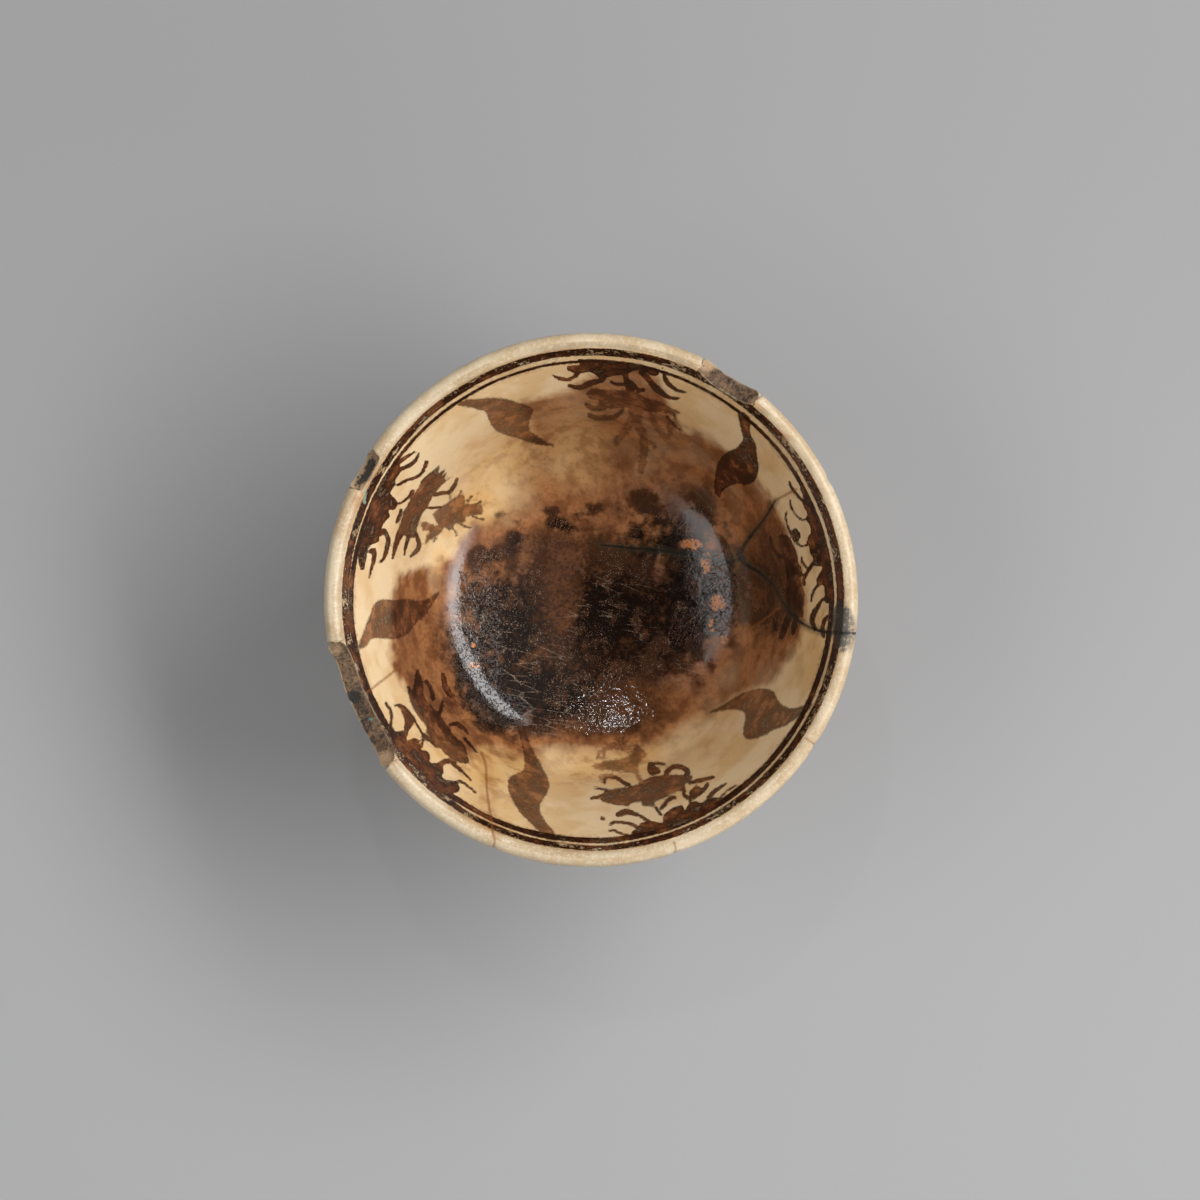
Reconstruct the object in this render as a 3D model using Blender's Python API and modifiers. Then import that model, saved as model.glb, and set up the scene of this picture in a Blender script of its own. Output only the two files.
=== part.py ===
"""Lustreware cup: a small flared cup of glazed stonepaste on a turned foot ring.

The body is one turned shape: a dished floor, a rounded corner, a steep flared wall, a round lip, the
outer wall, and a foot ring around a shallow recess. Three pieces are broken out of the rim. The origin
is at the centre of the foot ring's underside, +Z is up the cup's axis, and lengths are in metres.
"""

import math
from dataclasses import dataclass

import bmesh
import bpy
import numpy as np

# Body, in metres, with angles in degrees
RIM_DIAMETER = 0.110
HEIGHT = 0.060
LIP_THICKNESS = 0.0035
WALL_THICKNESS = 0.0042
FLOOR_THICKNESS = 0.0044
FLOOR_DIAMETER = 0.054
FLOOR_EDGE_SLOPE = 15.0
CORNER_RADIUS = 0.015
RIM_FLARE = 5.0

# Foot ring
FOOT_DIAMETER = 0.050
FOOT_RING_WIDTH = 0.0040
FOOT_RECESS = 0.0032
FOOT_TAPER = 0.0007
FOOT_EDGE_BEVEL = 0.0005
FOOT_FILLET = 0.0012

# Fineness of the facets
TURNS = 88
FLOOR_STEPS = 4
CORNER_STEPS = 7
WALL_STEPS = 6
LIP_STEPS = 8
FILLET_STEPS = 3
CHIP_STEPS_ALONG = 18
CHIP_STEPS_ACROSS = 8

# The rim's breaks: the height and length of their ripples, and what their cutters run past the wall by
BREAK_ROUGHNESS = 0.00025
BREAK_GRAIN = 0.0024
CUTTER_CLEARANCE = 0.0020
CUTTER_CEILING = 0.0060

# Two profile points closer than this are one point, and how often the wall's slope is worked out afresh
MERGE_DISTANCE = 0.00001
SLOPE_REPEATS = 30

COLLECTION_NAME = "lustreware_cup"
CUTTER_COLLECTION_NAME = "cutters"


@dataclass(frozen=True)
class RimChip:
    """A piece broken out of the rim: where it is, how long and deep it is, and how its face leans."""

    name: str
    bearing: float
    span: float
    depth: float
    lean: float
    squareness: float


# Bearings run anticlockwise from +X, seen from above. A positive lean lowers the break's outer edge.
RIM_CHIPS = (
    RimChip("chip_long", bearing=204.3, span=30.0, depth=0.0047, lean=8.0, squareness=6.0),
    RimChip("chip_right", bearing=57.6, span=14.5, depth=0.0036, lean=18.0, squareness=3.0),
    RimChip("chip_small", bearing=150.4, span=9.6, depth=0.0019, lean=45.0, squareness=2.6),
)


def clear_scene():
    """Remove every object that the file starts with."""
    for thing in list(bpy.data.objects):
        bpy.data.objects.remove(thing, do_unlink=True)


def new_collection(name):
    """Make a collection in the scene."""
    collection = bpy.data.collections.new(name)
    bpy.context.scene.collection.children.link(collection)
    return collection


def glaze_material():
    """The cream tin glaze, as it looks under its lustre and its brown stain."""
    material = bpy.data.materials.new("cream_glaze")
    material.use_nodes = True
    shader = material.node_tree.nodes["Principled BSDF"]
    shader.inputs["Base Color"].default_value = (0.70, 0.52, 0.33, 1.0)
    shader.inputs["Roughness"].default_value = 0.22
    shader.inputs["Metallic"].default_value = 0.0
    return material


def arc(centre, radius, start, end, steps):
    """Points on a circle whose tangent runs from slope start to slope end, both in radians."""
    slopes = np.linspace(start, end, steps + 1)
    return np.stack([centre[0] + radius * np.sin(slopes), centre[1] - radius * np.cos(slopes)], axis=1)


def bezier(start, start_slope, end, end_slope, steps):
    """A cubic curve that leaves start at one slope and reaches end at another."""
    reach = math.dist(start, end) / 3.0
    first = np.array(start) + reach * np.array([math.cos(start_slope), math.sin(start_slope)])
    second = np.array(end) - reach * np.array([math.cos(end_slope), math.sin(end_slope)])
    t = np.linspace(0.0, 1.0, steps + 1)[:, None]
    return (
        (1 - t) ** 3 * np.array(start)
        + 3 * (1 - t) ** 2 * t * first
        + 3 * (1 - t) * t**2 * second
        + t**3 * np.array(end)
    )


def inner_profile():
    """The inside from the axis to the lip, and its slopes: a shallow dish, the corner's arc, the wall.

    The wall leaves the corner half the flare steeper than the straight line to the lip, and reaches the
    lip half the flare flatter. The slope that does so is found by repetition.
    """
    edge_slope = math.radians(FLOOR_EDGE_SLOPE)
    flare = math.radians(RIM_FLARE)
    lip_radius = LIP_THICKNESS / 2.0
    dish_radius = (FLOOR_DIAMETER / 2.0) / math.sin(edge_slope)
    floor_level = FOOT_RECESS + FLOOR_THICKNESS
    dish = arc((0.0, floor_level + dish_radius), dish_radius, 0.0, edge_slope, FLOOR_STEPS)

    corner_centre = (
        dish[-1, 0] - CORNER_RADIUS * math.sin(edge_slope),
        dish[-1, 1] + CORNER_RADIUS * math.cos(edge_slope),
    )
    lip_centre = (RIM_DIAMETER / 2.0 - lip_radius, HEIGHT - lip_radius)
    wall_slope = math.pi / 3.0
    for _ in range(SLOPE_REPEATS):
        foot = arc(corner_centre, CORNER_RADIUS, wall_slope, wall_slope, 0)[0]
        rim_slope = wall_slope - flare
        top = (
            lip_centre[0] - lip_radius * math.sin(rim_slope),
            lip_centre[1] + lip_radius * math.cos(rim_slope),
        )
        wall_slope = math.atan2(top[1] - foot[1], top[0] - foot[0]) + flare / 2.0

    corner = arc(corner_centre, CORNER_RADIUS, edge_slope, wall_slope, CORNER_STEPS)
    wall = bezier(corner[-1], wall_slope, top, rim_slope, WALL_STEPS)
    points = np.concatenate([dish, corner[1:], wall[1:]])
    steps = np.gradient(points, axis=0)
    slopes = np.arctan2(steps[:, 1], steps[:, 0])
    slopes[0] = 0.0
    slopes[-1] = rim_slope
    return points, slopes


def lip_profile(rim_slope):
    """The half circle that joins the inside's top to the outer wall, without its two end points."""
    lip_radius = LIP_THICKNESS / 2.0
    centre = (RIM_DIAMETER / 2.0 - lip_radius, HEIGHT - lip_radius)
    turned = np.linspace(rim_slope + math.pi / 2.0, rim_slope - math.pi / 2.0, LIP_STEPS + 1)[1:-1]
    return np.stack([centre[0] + lip_radius * np.cos(turned), centre[1] + lip_radius * np.sin(turned)], axis=1)


def outer_profile(inside, slopes):
    """The outside from the lip inwards to the axis: the inside moved out by the wall's thickness.

    The thickness grows evenly from the lip to the corner's top, and again to the floor's edge.
    """
    floor_edge = FLOOR_STEPS
    corner_top = FLOOR_STEPS + CORNER_STEPS
    index = np.arange(len(inside))
    thickness = np.interp(
        index,
        [0, floor_edge, corner_top, len(inside) - 1],
        [FLOOR_THICKNESS, FLOOR_THICKNESS, WALL_THICKNESS, LIP_THICKNESS],
    )
    outwards = np.stack([np.sin(slopes), -np.cos(slopes)], axis=1)
    return (inside + outwards * thickness[:, None])[::-1]


def height_at(outside, radius):
    """How high the outer surface stands at a distance from the axis."""
    order = np.argsort(outside[:, 0])
    return float(np.interp(radius, outside[order, 0], outside[order, 1]))


def foot_profile(outside):
    """The foot from its fillet under the bowl, down, across the ring and in over the recess to the axis."""
    radius = FOOT_DIAMETER / 2.0
    body_level = height_at(outside, radius + FOOT_FILLET)
    fillet_centre = (radius + FOOT_FILLET, body_level - FOOT_FILLET)
    around = np.linspace(math.pi / 2.0, math.pi, FILLET_STEPS + 1)
    fillet = np.stack(
        [
            fillet_centre[0] + FOOT_FILLET * np.cos(around),
            fillet_centre[1] + FOOT_FILLET * np.sin(around),
        ],
        axis=1,
    )
    outer_foot = radius - FOOT_TAPER
    inner_foot = radius - FOOT_RING_WIDTH
    recess = inner_foot - FOOT_TAPER
    ring = np.array(
        [
            (outer_foot, FOOT_EDGE_BEVEL),
            (outer_foot - FOOT_EDGE_BEVEL, 0.0),
            (inner_foot + FOOT_EDGE_BEVEL, 0.0),
            (inner_foot, FOOT_EDGE_BEVEL),
            (recess, FOOT_RECESS - FOOT_EDGE_BEVEL),
            (recess - FOOT_EDGE_BEVEL, FOOT_RECESS),
            (recess / 2.0, FOOT_RECESS),
            (0.0, FOOT_RECESS),
        ]
    )
    return np.concatenate([fillet, ring])


def turned_profile():
    """The whole section, from the axis inside, over the lip, down the outside and back to the axis."""
    inside, slopes = inner_profile()
    outside = outer_profile(inside, slopes)
    bowl = outside[outside[:, 0] > FOOT_DIAMETER / 2.0 + FOOT_FILLET + MERGE_DISTANCE]
    return np.concatenate([inside, lip_profile(slopes[-1]), bowl, foot_profile(outside)])


def turned_body(collection):
    """The cup's body: its section turned about the axis with a Screw modifier."""
    section = turned_profile()
    mesh = bpy.data.meshes.new("cup")
    points = [(float(x), 0.0, float(z)) for x, z in section]
    mesh.from_pydata(points, [(i, i + 1) for i in range(len(points) - 1)], [])
    cup = bpy.data.objects.new("cup", mesh)
    collection.objects.link(cup)

    screw = cup.modifiers.new("turning", "SCREW")
    screw.axis = "Z"
    screw.angle = math.tau
    screw.steps = TURNS
    screw.render_steps = TURNS
    screw.use_merge_vertices = True
    screw.merge_threshold = MERGE_DISTANCE
    screw.use_smooth_shade = True
    return cup


def ripple(along_rim, radius):
    """A break's fine relief, from -1 to 1: two crossing waves, one of them twice as fine as the other."""
    coarse = math.sin(along_rim / BREAK_GRAIN + math.sin(radius / BREAK_GRAIN))
    fine = math.sin((2.0 * along_rim + radius) / BREAK_GRAIN)
    return (coarse + fine) / 2.0


def broken_surface(bearing, radius, chip):
    """How high the broken face stands at a bearing and radius, in radians and metres.

    It is the rim's height less the chip's depth, more of it outside the middle of the wall by the lean,
    with the ripple on it. All of it fades to nothing at the chip's two ends.
    """
    along = (bearing - math.radians(chip.bearing)) / (math.radians(chip.span) / 2.0)
    middle = (RIM_DIAMETER - LIP_THICKNESS) / 2.0
    fade = 1.0 - min(1.0, abs(along)) ** chip.squareness
    beyond = max(0.0, abs(along) - 1.0)
    fall = chip.depth + (radius - middle) * math.tan(math.radians(chip.lean))
    fall -= BREAK_ROUGHNESS * ripple(bearing * middle, radius)
    return HEIGHT - fall * fade + CUTTER_CLEARANCE * beyond


def chip_cutter(chip, collection):
    """A block bent along the rim, whose underside is the broken face and whose top clears the rim."""
    bm = bmesh.new()
    bmesh.ops.create_cube(bm, size=2.0)
    for axis, cuts in ((0, CHIP_STEPS_ACROSS - 1), (1, CHIP_STEPS_ALONG - 1)):
        edges = [e for e in bm.edges if abs(e.verts[0].co[axis] - e.verts[1].co[axis]) > 1.0]
        bmesh.ops.subdivide_edges(bm, edges=edges, cuts=cuts, use_grid_fill=True)

    outer_radius = RIM_DIAMETER / 2.0 + CUTTER_CLEARANCE
    inner_radius = RIM_DIAMETER / 2.0 - LIP_THICKNESS - chip.depth - CUTTER_CLEARANCE
    half_span = math.radians(chip.span) / 2.0 * (1.0 + 2.0 / CHIP_STEPS_ALONG)
    for vertex in bm.verts:
        across, along, up = vertex.co
        bearing = math.radians(chip.bearing) + along * half_span
        radius = inner_radius + (across + 1.0) / 2.0 * (outer_radius - inner_radius)
        height = HEIGHT + CUTTER_CEILING if up > 0.0 else broken_surface(bearing, radius, chip)
        vertex.co = (radius * math.cos(bearing), radius * math.sin(bearing), height)

    mesh = bpy.data.meshes.new(chip.name)
    bm.to_mesh(mesh)
    bm.free()
    cutter = bpy.data.objects.new(chip.name, mesh)
    cutter.hide_render = True
    cutter.display_type = "WIRE"
    collection.objects.link(cutter)
    return cutter


def break_out(cup, cutter):
    """Take a cutter's shape out of the cup."""
    boolean = cup.modifiers.new(cutter.name, "BOOLEAN")
    boolean.operation = "DIFFERENCE"
    boolean.solver = "EXACT"
    boolean.object = cutter


def main():
    """Build the cup."""
    clear_scene()
    parts = new_collection(COLLECTION_NAME)
    cutters = new_collection(CUTTER_COLLECTION_NAME)
    cup = turned_body(parts)
    cup.data.materials.append(glaze_material())
    for chip in RIM_CHIPS:
        break_out(cup, chip_cutter(chip, cutters))


main()
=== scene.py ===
"""A small lustreware cup seen from above: painted inside, brown stain that is partly painted shadow of the
rim, worn lip, breaks and a mended crack.

Lengths are metres unless a name says otherwise. Places read from the photograph are pixels of its 1200 by
1200 frame, and Photo turns them into metres on the cup.
"""

import logging
import math
from dataclasses import dataclass, field
from enum import Enum

import bpy
import numpy as np
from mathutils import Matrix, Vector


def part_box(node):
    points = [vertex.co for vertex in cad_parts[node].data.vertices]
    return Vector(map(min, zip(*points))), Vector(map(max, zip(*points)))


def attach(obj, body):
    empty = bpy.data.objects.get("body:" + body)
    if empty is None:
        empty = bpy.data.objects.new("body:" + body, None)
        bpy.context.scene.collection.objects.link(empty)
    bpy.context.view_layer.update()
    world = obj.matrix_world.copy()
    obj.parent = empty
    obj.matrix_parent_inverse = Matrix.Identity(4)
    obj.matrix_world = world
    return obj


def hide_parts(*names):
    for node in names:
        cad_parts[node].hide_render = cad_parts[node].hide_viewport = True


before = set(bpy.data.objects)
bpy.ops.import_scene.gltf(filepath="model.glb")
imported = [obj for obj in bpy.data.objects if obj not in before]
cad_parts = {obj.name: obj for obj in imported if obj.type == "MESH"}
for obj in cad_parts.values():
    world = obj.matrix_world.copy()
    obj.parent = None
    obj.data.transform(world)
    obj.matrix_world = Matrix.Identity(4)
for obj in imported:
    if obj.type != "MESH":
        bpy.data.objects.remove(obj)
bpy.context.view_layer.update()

LOG = logging.getLogger("lustreware_cup")
MM = 0.001

Spot = tuple[float, float]
Pull = tuple[tuple[float, float, float], ...]
Cloud = tuple[float, float, float, float, float]
Colour = tuple[float, float, float, float]
Array = np.ndarray
Socket = bpy.types.NodeSocket
Tree = bpy.types.NodeTree


@dataclass(frozen=True)
class Photo:
    """How the photograph's pixels lie on the cup, seen straight from above."""

    side: float = 1200.0
    centre: tuple[float, float] = (591.0, 600.0)
    rim_radius: float = 267.5
    cup_radius: float = 0.055

    @property
    def pixel(self) -> float:
        """Size of one pixel on the cup, in metres."""
        return self.cup_radius / self.rim_radius

    def to_cup(self, x: float, y: float) -> tuple[float, float]:
        """Plan position in metres of a pixel."""
        return (x - self.centre[0]) * self.pixel, (self.centre[1] - y) * self.pixel

    def on_cup(self, pulls: tuple[Pull, ...]) -> tuple[Pull, ...]:
        """Strokes given in pixels, with their widths, as strokes in millimetres.

        Args:
            pulls: Strokes, each point a column, a row and a width.

        Returns:
            The strokes on the cup.
        """

        def point(x: float, y: float, width: float) -> tuple[float, ...]:
            """One point of a stroke."""
            return tuple(value / MM for value in (*self.to_cup(x, y), width * self.pixel))

        return tuple(tuple(point(*spot) for spot in pull) for pull in pulls)


@dataclass(frozen=True)
class Chip:
    """A piece broken out of the rim, by the same formula as the solid's cutter.

    Angles are degrees; bearing is counted anticlockwise from +X.
    """

    bearing: float
    span: float
    depth: float
    lean: float
    squareness: float


class Zone(Enum):
    """Parts of the turned section, in the order in which it is walked."""

    FLOOR = 0
    WALL = 1
    LIP = 2
    OUTSIDE = 3
    FOOT = 4


@dataclass
class Section:
    """The cup's turned section, from the floor's centre over the lip and back to the axis under the foot."""

    rim_radius: float
    height: float
    lip_thickness: float = 3.5 * MM
    wall_thickness: float = 4.2 * MM
    floor_thickness: float = 4.4 * MM
    floor_radius: float = 27.0 * MM
    floor_edge_slope: float = math.radians(15.0)
    corner_radius: float = 15.0 * MM
    rim_flare: float = math.radians(5.0)
    foot_radius: float = 25.0 * MM
    foot_ring_width: float = 4.0 * MM
    foot_recess: float = 3.2 * MM
    foot_taper: float = 0.7 * MM
    foot_bevel: float = 0.5 * MM
    foot_fillet: float = 1.2 * MM
    first_slope: float = math.pi / 3.0
    slope_rounds: int = 30
    steps: int = 160
    floor_rows: int = 34
    wall_rows: int = 67
    lip_rows: int = 13
    near_lip_rows: int = 8
    outside_rows: int = 20
    fillet_rows: int = 7
    first_ring: float = 0.7 * MM
    fine_from: float = 28.4 * MM
    fine_below_lip: float = 3.2 * MM
    coarse_below_lip: float = 3.9 * MM
    fine_step: float = 0.3 * MM
    above_fillet: float = 0.4 * MM
    beyond_fillet: float = 0.05 * MM

    @property
    def crown(self) -> float:
        """Radius of the lip's highest ring."""
        return self.rim_radius - self.lip_thickness / 2.0

    @staticmethod
    def arc(centre: tuple[float, float], radius: float, start: float, end: float, steps: int) -> Array:
        """Points on a circle whose tangent turns evenly from slope start to slope end."""
        slopes = np.linspace(start, end, steps + 1)
        return np.stack([centre[0] + radius * np.sin(slopes), centre[1] - radius * np.cos(slopes)], axis=1)

    @staticmethod
    def bezier(start: Array, leave: float, end: Array, arrive: float, steps: int) -> Array:
        """Cubic curve between two points with the given slopes, its handles a third of the chord.

        Args:
            start: First point.
            leave: Slope at the first point, in radians.
            end: Last point.
            arrive: Slope at the last point.
            steps: Pieces of the curve.

        Returns:
            The curve's points.
        """
        reach = math.dist(start, end) / 3.0
        first = start + reach * np.array([math.cos(leave), math.sin(leave)])
        second = end - reach * np.array([math.cos(arrive), math.sin(arrive)])
        t = np.linspace(0.0, 1.0, steps + 1)[:, None]
        return (1 - t) ** 3 * start + 3 * (1 - t) ** 2 * t * first + 3 * (1 - t) * t**2 * second + t**3 * end

    def inside(self) -> tuple[Array, Array]:
        """The shallow dish, the corner's arc and the flared wall up to the lip.

        Returns:
            The points and the slope at each.
        """
        lip_radius = self.lip_thickness / 2.0
        dish_radius = self.floor_radius / math.sin(self.floor_edge_slope)
        floor_level = self.foot_recess + self.floor_thickness
        dish = self.arc((0.0, floor_level + dish_radius), dish_radius, 0.0, self.floor_edge_slope, self.steps)
        corner_centre = (
            dish[-1, 0] - self.corner_radius * math.sin(self.floor_edge_slope),
            dish[-1, 1] + self.corner_radius * math.cos(self.floor_edge_slope),
        )
        lip_centre = (self.rim_radius - lip_radius, self.height - lip_radius)
        slope = self.first_slope
        for _ in range(self.slope_rounds):
            foot = self.arc(corner_centre, self.corner_radius, slope, slope, 0)[0]
            rim_slope = slope - self.rim_flare
            top = np.array(
                [
                    lip_centre[0] - lip_radius * math.sin(rim_slope),
                    lip_centre[1] + lip_radius * math.cos(rim_slope),
                ]
            )
            slope = math.atan2(top[1] - foot[1], top[0] - foot[0]) + self.rim_flare / 2.0
        corner = self.arc(corner_centre, self.corner_radius, self.floor_edge_slope, slope, self.steps)
        wall = self.bezier(corner[-1], slope, top, rim_slope, self.steps)
        points = np.concatenate([dish, corner[1:], wall[1:]])
        rise = np.gradient(points, axis=0)
        slopes = np.arctan2(rise[:, 1], rise[:, 0])
        slopes[0], slopes[-1] = 0.0, rim_slope
        return points, slopes

    def outside(self, points: Array, slopes: Array) -> Array:
        """The inside moved out by the wall's thickness, which grows from the lip to the floor.

        Args:
            points: The inside's points.
            slopes: The slope at each.

        Returns:
            The outside from the lip inwards to the axis.
        """
        thickness = np.interp(
            np.arange(len(points)),
            [0, self.steps, 2 * self.steps, len(points) - 1],
            [self.floor_thickness, self.floor_thickness, self.wall_thickness, self.lip_thickness],
        )
        outwards = np.stack([np.sin(slopes), -np.cos(slopes)], axis=1)
        return (points + outwards * thickness[:, None])[::-1]

    def foot(self, outside: Array) -> Array:
        """The foot: fillet under the bowl, down its side, across the ring and in over the recess.

        Args:
            outside: The outside's points, for the level where the foot starts.

        Returns:
            The foot's points, down to the axis.
        """
        order = np.argsort(outside[:, 0])
        level = float(np.interp(self.foot_radius + self.foot_fillet, outside[order, 0], outside[order, 1]))
        around = np.linspace(math.pi / 2.0, math.pi, self.fillet_rows)
        fillet = np.stack(
            [
                self.foot_radius + self.foot_fillet * (1.0 + np.cos(around)),
                level - self.foot_fillet * (1.0 - np.sin(around)),
            ],
            axis=1,
        )
        outer = self.foot_radius - self.foot_taper
        inner = self.foot_radius - self.foot_ring_width
        recess = inner - self.foot_taper
        ring = [
            (outer, self.foot_bevel),
            (outer - self.foot_bevel, 0.0),
            (inner + self.foot_bevel, 0.0),
            (inner, self.foot_bevel),
            (recess, self.foot_recess - self.foot_bevel),
            (recess - self.foot_bevel, self.foot_recess),
            (recess * 0.66, self.foot_recess),
            (recess * 0.33, self.foot_recess),
        ]
        return np.concatenate([fillet, np.array(ring)])

    def rows(self) -> tuple[Array, Array, Array]:
        """The section's points as the mesh has them, close together where the painting and the breaks are.

        Returns:
            Radius and height of each row, its zone, and whether the row belongs to the fine zone.
        """
        inside, slopes = self.inside()
        outside = self.outside(inside, slopes)
        outside = outside[outside[:, 0] > self.foot_radius + self.foot_fillet + self.beyond_fillet]
        lip_radius = self.lip_thickness / 2.0
        quarter = math.pi / 2.0
        turned = np.linspace(slopes[-1] + quarter, slopes[-1] - quarter, self.lip_rows + 2)[1:-1]
        lip = np.stack(
            [
                self.rim_radius - lip_radius + lip_radius * np.cos(turned),
                self.height - lip_radius + lip_radius * np.sin(turned),
            ],
            axis=1,
        )

        def at(line: Array, stops: Array) -> Array:
            """Points of a line at the given lengths along it."""
            length = np.concatenate([[0.0], np.cumsum(np.hypot(*np.diff(line, axis=0).T))])
            return np.stack([np.interp(stops, length, line[:, part]) for part in (0, 1)], axis=1)

        def by_radius(line: Array, radii: Array) -> Array:
            """Points of a line that runs outwards, at the given radii."""
            return np.stack([radii, np.interp(radii, line[:, 0], line[:, 1])], axis=1)

        floor = by_radius(inside, np.linspace(self.first_ring, self.fine_from, self.floor_rows))
        wall = by_radius(inside, np.linspace(self.fine_from + self.fine_step, inside[-1, 0], self.wall_rows))
        length = float(np.sum(np.hypot(*np.diff(outside, axis=0).T)))
        near_lip = at(outside, np.linspace(0.0, self.fine_below_lip, self.near_lip_rows))
        lowest = length - self.above_fillet
        below = at(outside, np.linspace(self.coarse_below_lip, lowest, self.outside_rows))
        foot = self.foot(outside)
        parts = [
            (floor, Zone.FLOOR, False),
            (wall, Zone.WALL, True),
            (lip, Zone.LIP, True),
            (near_lip, Zone.OUTSIDE, True),
            (below, Zone.OUTSIDE, False),
            (foot, Zone.FOOT, False),
        ]
        points = np.concatenate([line for line, _, _ in parts])
        zones = np.concatenate([np.full(len(line), zone.value) for line, zone, _ in parts])
        fine = np.concatenate([np.full(len(line), is_fine) for line, _, is_fine in parts])
        return points, zones, fine


def degrees_from(bearing: Array, place: float) -> Array:
    """How far a bearing in radians lies from a place in degrees: -180 to 180 degrees."""
    return (np.degrees(bearing) - place + 180.0) % 360.0 - 180.0


@dataclass
class CupBody:
    """The whole cup as one closed skin: turned section, worn lip and broken places.

    Each nick is a bearing in degrees and its share of the nicks' depth.
    """

    section: Section
    chips: tuple[Chip, ...]
    nicks: tuple[tuple[float, float], ...]
    columns: int = 800
    waver: float = 0.10 * MM
    nick_depth: float = 0.30 * MM
    nick_width: float = 0.9 * MM
    nick_below: float = 1.4 * MM
    nick_height: float = 1.2 * MM
    break_roughness: float = 0.25 * MM
    break_grain: float = 2.4 * MM
    crumb: float = 0.09 * MM
    gather: int = 24
    gather_beyond: int = 6
    row_gap_mm: float = 0.35
    far_outside: float = -3.0 * MM
    fields: dict[str, Array] = field(default_factory=dict)

    def fracture(self, chip: Chip, bearing: Array, radius: Array) -> Array:
        """Height of a chip's broken surface.

        The surface falls from the lip's middle outwards by the lean, fades to nothing at the chip's ends by
        a power of the way along it, and carries slow ripples and a finer crumb of crossed sines.

        Args:
            chip: The chip.
            bearing: Bearings in radians.
            radius: Distances from the axis.

        Returns:
            The height, in metres.
        """
        middle = self.section.crown
        along = degrees_from(bearing, chip.bearing) / (chip.span / 2.0)
        arc_length = bearing * middle / self.break_grain
        across = radius / self.break_grain
        ripple = (np.sin(arc_length + np.sin(across)) + np.sin(2.0 * arc_length + across)) / 2.0
        crumb = (
            np.sin(arc_length * 7.3 + 2.0 * np.sin(across * 5.1))
            + np.sin(arc_length * 12.7 - across * 11.3 + np.sin(arc_length * 3.1))
            + np.sin(arc_length * 4.1 + across * 7.7)
        ) / 3.0
        fall = (
            chip.depth
            + (radius - middle) * math.tan(math.radians(chip.lean))
            - self.break_roughness * ripple
            - self.crumb * crumb
        )
        fade = 1.0 - np.minimum(1.0, np.abs(along)) ** chip.squareness
        return self.section.height - fall * fade + 2.0 * MM * np.maximum(0.0, np.abs(along) - 1.0)

    def worn(self, radius: Array, height: Array, bearing: Array) -> Array:
        """Radius of the outside and the lip, pulled in by slow waver and by nicks in the lip's edge.

        Args:
            radius: Radii.
            height: Heights.
            bearing: Bearings in radians.

        Returns:
            The worn radii, never larger than before.
        """
        slow = 0.5 + 0.25 * (np.sin(3.0 * bearing + 0.7) + np.sin(7.0 * bearing + 2.1 + 40.0 * height))
        fast = 0.5 + 0.25 * (np.sin(23.0 * bearing + 1.3) + np.sin(41.0 * bearing + np.sin(9.0 * bearing)))
        pull = self.waver * (0.7 * slow + 0.3 * fast)
        for place, depth in self.nicks:
            reach = np.radians(degrees_from(bearing, place)) * self.section.rim_radius / self.nick_width
            near_lip = np.exp(-(((self.section.height - self.nick_below - height) / self.nick_height) ** 2))
            pull = pull + depth * self.nick_depth * np.exp(-(reach**2)) * near_lip
        return radius - pull

    def broken_columns(self, radius: Array, height: Array, bearing: Array) -> tuple[Array, Array, Array]:
        """Cuts the chips: rows are gathered so that one row lies on each edge of a break.

        In each column the two places are found where the section crosses the fracture. The rows between
        are spread evenly over it, and the rows next to them close up to its edges.

        Args:
            radius: Radii of the fine rows, one column of the grid after another.
            height: Heights of the same.
            bearing: The columns' bearings in radians.

        Returns:
            New radii, new heights, and the distance inside the break, negative outside it.
        """
        radius, height = radius.copy(), height.copy()
        inside_break = np.full(radius.shape, self.far_outside)
        rows = np.arange(radius.shape[1])
        for chip in self.chips:
            gap = height - self.fracture(chip, bearing[:, None], radius)
            cut = (gap > 0.0) & (np.abs(degrees_from(bearing, chip.bearing)) < chip.span / 2.0)[:, None]
            hit = np.nonzero(cut.any(axis=1))[0]
            first = int(np.argmax(cut[hit], axis=1).min())
            last = int((len(rows) - 1 - np.argmax(cut[hit][:, ::-1], axis=1)).max())
            for column in hit:
                line = np.stack([radius[column], height[column]])
                start = int(np.argmax(cut[column]))
                stop = int(len(rows) - 1 - np.argmax(cut[column][::-1]))
                above = gap[column]
                place_a = start - 1 + above[start - 1] / (above[start - 1] - above[start])
                place_b = stop + above[stop] / (above[stop] - above[stop + 1])
                before, beyond = first - self.gather, min(last + self.gather_beyond, rows[-1])
                knots = [0, before, first, last, beyond, rows[-1]]
                place = np.interp(rows, knots, [0, before, place_a, place_b, beyond, rows[-1]])
                moved = np.stack([np.interp(place, rows, part) for part in line])
                lost = (rows >= first) & (rows <= last)
                share = (rows[lost] - first) / (last - first)
                low = np.interp(place_a, rows, line[0])
                high = np.interp(place_b, rows, line[0])
                moved[0, lost] = low + (high - low) * share
                moved[1, lost] = self.fracture(chip, bearing[column], moved[0, lost])
                radius[column], height[column] = moved
                depth = np.minimum(share, 1.0 - share) * (high - low)
                outside = np.where(rows < first, place - place_a, place_b - place) * self.row_gap_mm * MM
                inside_break[column] = outside
                inside_break[column, lost] = depth
        return radius, height, inside_break

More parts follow.
